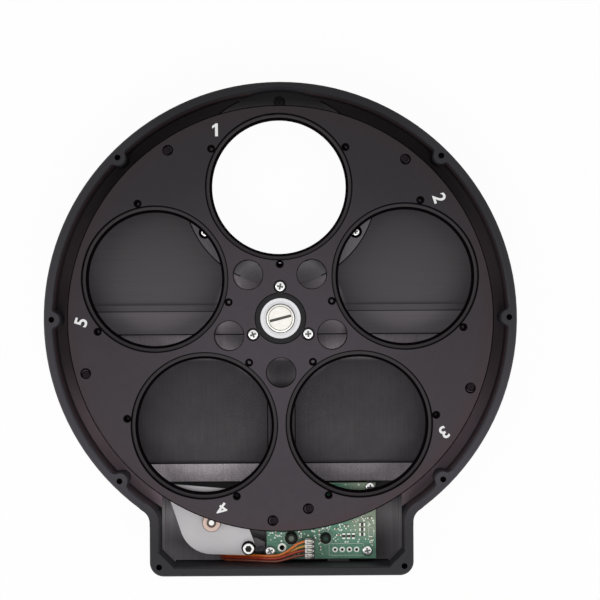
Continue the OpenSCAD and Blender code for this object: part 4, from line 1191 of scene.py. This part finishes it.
class WHEEL_OT_components(Operator):
    """Solder the small parts to the board"""
    bl_idname = "wheel.components"
    bl_label = "Board components"

    def execute(self, context):
        top = BOARD_HIGH.z
        dress(moulded("chip_black", (0.012, 0.012, 0.013), 0.5), "controller_chip", "driver_chip",
              "hall_sensor")
        # The lighter core of each wound part is partly painted reflection
        for name, tone, core_and_sheen, node in (
                ("inductor_black", (0.001, 0.002, 0.001), (0.14, 0.16, 0.13), "power_inductor"),
                ("capacitor_dark", (0.001, 0.003, 0.002), (0.02, 0.05, 0.035), "filter_capacitor")):
            dress(wound_finish(name, tone, core_and_sheen, node), node)
        dress(moulded("resistor_brown", (0.03, 0.022, 0.018), 0.45), "chip_resistors")

        # Tin ends of the chip resistors; those of the front row stand along the board
        tin = bpy.data.materials["pad_tin"]
        front_row, end_at, wide, thin = BOARD_LOW.y + 8.2, 0.75, 0.54, 0.26
        caps = bmesh.new()
        for x, y, low, high in solids_centres("chip_resistors"):
            upright = y < front_row
            dx, dy = (wide, thin) if upright else (thin, wide)
            for side in (-end_at, end_at):
                cx, cy = (x, y + side) if upright else (x + side, y)
                block(caps, (cx - dx, cy - dy, top), (cx + dx, cy + dy, high + 0.03))
        settle(piece_of("resistor_ends", caps), "housing_body", tin)

        # Ceramic chips and their tin ends, some turned and each of its own size
        rng = random.Random(19)
        places = ((5.4, 12.4), (7.2, 11.2), (3.2, 9.0), (12.1, 9.6), (19.0, 3.6), (18.9, 6.2),
                  (18.6, 9.2), (19.8, 11.4), (24.6, 10.4), (25.4, 8.2), (31.0, 13.0), (30.4, 15.0),
                  (36.4, 14.2), (37.2, 5.2), (36.9, 7.0), (6.4, 17.5), (13.8, 13.4), (28.1, 11.4),
                  (33.9, 14.6))
        rows = [(*board_spot(x, y), top, rng.choice((0, math.pi / 2)), rng.uniform(0.85, 1.2))
                for x, y in places]
        tan = moulded("ceramic_tan", (0.30, 0.24, 0.17), 0.4, slot="resistor_brown")
        chip, tips = bmesh.new(), bmesh.new()
        block(chip, (-0.5, -0.25, 0), (0.5, 0.25, 0.35))
        for side in (-0.62, 0.62):
            block(tips, (side - 0.16, -0.27, 0), (side + 0.16, 0.27, 0.37))
        settle(scatter("ceramic_chips", to_mesh("chip", chip), rows, tan), "housing_body", tan)
        settle(scatter("ceramic_chip_ends", to_mesh("tips", tips), rows, tin), "housing_body", tin)

        # Printed frames, and rings round the wound parts
        ink = moulded("board_ink", (0.70, 0.76, 0.66), 0.6, 0.08, slot="board_green")
        lines = bmesh.new()
        half = 0.07
        for x0, y0, x1, y1 in ((22.0, 1.1, 34.2, 5.2), (36.0, 7.5, 37.7, 10.7),
                               (17.6, 10.3, 20.4, 14.2)):
            for a, b, c, d in ((x0, y0, x1, y0), (x0, y1, x1, y1), (x0, y0, x0, y1),
                               (x1, y0, x1, y1)):
                block(lines, (*board_spot(a - half, b - half), top),
                      (*board_spot(c + half, d + half), top + PAINT))
        for name in ("power_inductor", "filter_capacitor"):
            low, high = corners(name)
            inner = (high.x - low.x) / 2 + 0.35
            outer = inner + 0.16
            ring = revolve([(inner, 0), (outer, 0), (outer, PAINT), (inner, PAINT)], 40,
                           closed=True)
            moved(ring, (low.x + high.x) / 2, (low.y + high.y) / 2, top)
            lines.from_mesh(to_mesh("ring", ring))
        settle(piece_of("board_legends", lines), "housing_body", ink)
        return {"FINISHED"}


class WHEEL_OT_connector(Operator):
    """Finish the motor connector, its contacts and the USB socket"""
    bl_idname = "wheel.connector"
    bl_label = "Connectors"

    def execute(self, context):
        dress(connector_finish(), "motor_connector")
        dress(steel("contact_tin", (0.76, 0.72, 0.62), 0.35, 0.15), "connector_contacts")
        dress(steel("socket_steel", (0.06, 0.06, 0.062), 0.4, 0.15), "usb_shell")
        dress(moulded("tongue_black", (0.012, 0.012, 0.012), 0.4), "usb_tongue")
        return {"FINISHED"}


class WHEEL_OT_stage(Operator):
    """Set the floor, the lamps, the world and the camera"""
    bl_idname = "wheel.stage"
    bl_label = "Stage"

    def execute(self, context):
        scene = context.scene
        stage = scene.wheel_stage
        scene.view_settings.view_transform = "Standard"

        # Floor that the camera sees as nearly white and that keeps the shadow
        bm = bmesh.new()
        bmesh.ops.create_grid(bm, x_segments=1, y_segments=1, size=1.5)
        floor = piece_of("floor", bm)
        floor.location.z = -0.3 * MM
        m, n, s = surface("floor_paper", Roughness=0.8, Base_Color=(0.82, 0.82, 0.82, 1))
        seen = n.add("ShaderNodeLightPath", out="Is Camera Ray")
        white = n.add("ShaderNodeEmission", {"Color": (1, 1, 1), "Strength": 1.0})
        both = n.add("ShaderNodeMixShader",
                     {"Fac": seen * 0.96, 1: Value(n, s.outputs[0]), 2: white})
        output = next(node for node in n.tree.nodes if node.type == "OUTPUT_MATERIAL")
        n.tree.links.new(both.socket, output.inputs["Surface"])
        floor.data.materials.append(m)

        # World: a plain level of light, and white where it shows in metal
        world = bpy.data.worlds.new("studio")
        scene.world = world
        world.use_nodes = True
        w = Nodes(world.node_tree)
        path = w.add("ShaderNodeLightPath", out=None)
        camera_ray, glossy, clear = [Value(w, path.outputs[k]) for k in (
            "Is Camera Ray", "Is Glossy Ray", "Is Transmission Ray")]
        sky = w.mix(camera_ray.most(glossy).most(clear), (0.40, 0.40, 0.405), (1, 1, 1))
        w.add("ShaderNodeOutputWorld", {"Surface": w.add("ShaderNodeBackground", {"Color": sky})},
              out=None)

        # Name, place, width and height, and power of each lamp; all aim at the wheel's axis
        for name, place, size, power in (
                ("key_softbox", (0.05, -0.75, 0.75), (0.9, 0.6), 5),
                ("left_softbox", (-0.8, -0.1, 0.5), (0.4, 0.8), 2.6),
                ("right_softbox", (0.8, -0.1, 0.5), (0.4, 0.8), 1.7),
                ("back_softbox", (0, 0.8, 0.6), (0.9, 0.4), 0.8)):
            light = bpy.data.lights.new(name, "AREA")
            light.shape = "RECTANGLE"
            light.size, light.size_y = size
            light.energy = power
            lamp = link(name, light)
            lamp.location = place
            lamp.rotation_euler = (-Vector(place)).to_track_quat("-Z", "Y").to_euler()

        camera = link("camera", bpy.data.cameras.new("camera"))
        camera.data.sensor_width = 36
        camera.data.lens = 36 * stage.camera_height / stage.view_width
        camera.data.clip_start = 0.01
        camera.location = (stage.camera_x, stage.camera_y,
                           CAROUSEL_HIGH.z * MM + stage.camera_height)
        camera.rotation_euler = (0, 0, stage.roll)
        scene.camera = camera
        return {"FINISHED"}


class WHEEL_PT_panel(Panel):
    """Lists the steps that dress the filter wheel"""
    bl_idname = "WHEEL_PT_panel"
    bl_label = "Filter wheel"
    bl_space_type = "VIEW_3D"
    bl_region_type = "UI"
    bl_category = "Filter wheel"

    def draw(self, context):
        layout = self.layout
        for group in ("wheel_sizes", "wheel_colours", "wheel_stage"):
            settings = getattr(context.scene, group)
            box = layout.box()
            for key in settings.__annotations__:
                box.prop(settings, key)
        for step in STEPS:
            layout.operator(step.bl_idname)


STEPS = (WHEEL_OT_housing, WHEEL_OT_carousel, WHEEL_OT_digits, WHEEL_OT_threads, WHEEL_OT_axle,
         WHEEL_OT_screws, WHEEL_OT_magnets, WHEEL_OT_drive, WHEEL_OT_pivot, WHEEL_OT_leads,
         WHEEL_OT_board, WHEEL_OT_components, WHEEL_OT_connector, WHEEL_OT_stage)
CLASSES = (WheelSizes, WheelColours, StageSettings) + STEPS + (WHEEL_PT_panel,)


def register():
    for cls in CLASSES:
        bpy.utils.register_class(cls)
    bpy.types.Scene.wheel_sizes = PointerProperty(type=WheelSizes)
    bpy.types.Scene.wheel_colours = PointerProperty(type=WheelColours)
    bpy.types.Scene.wheel_stage = PointerProperty(type=StageSettings)


def unregister():
    for key in ("wheel_sizes", "wheel_colours", "wheel_stage"):
        delattr(bpy.types.Scene, key)
    for cls in reversed(CLASSES):
        bpy.utils.unregister_class(cls)


def main():
    register()
    for step in STEPS:
        group, name = step.bl_idname.split(".")
        getattr(getattr(bpy.ops, group), name)()


if __name__ == "__main__":
    main()
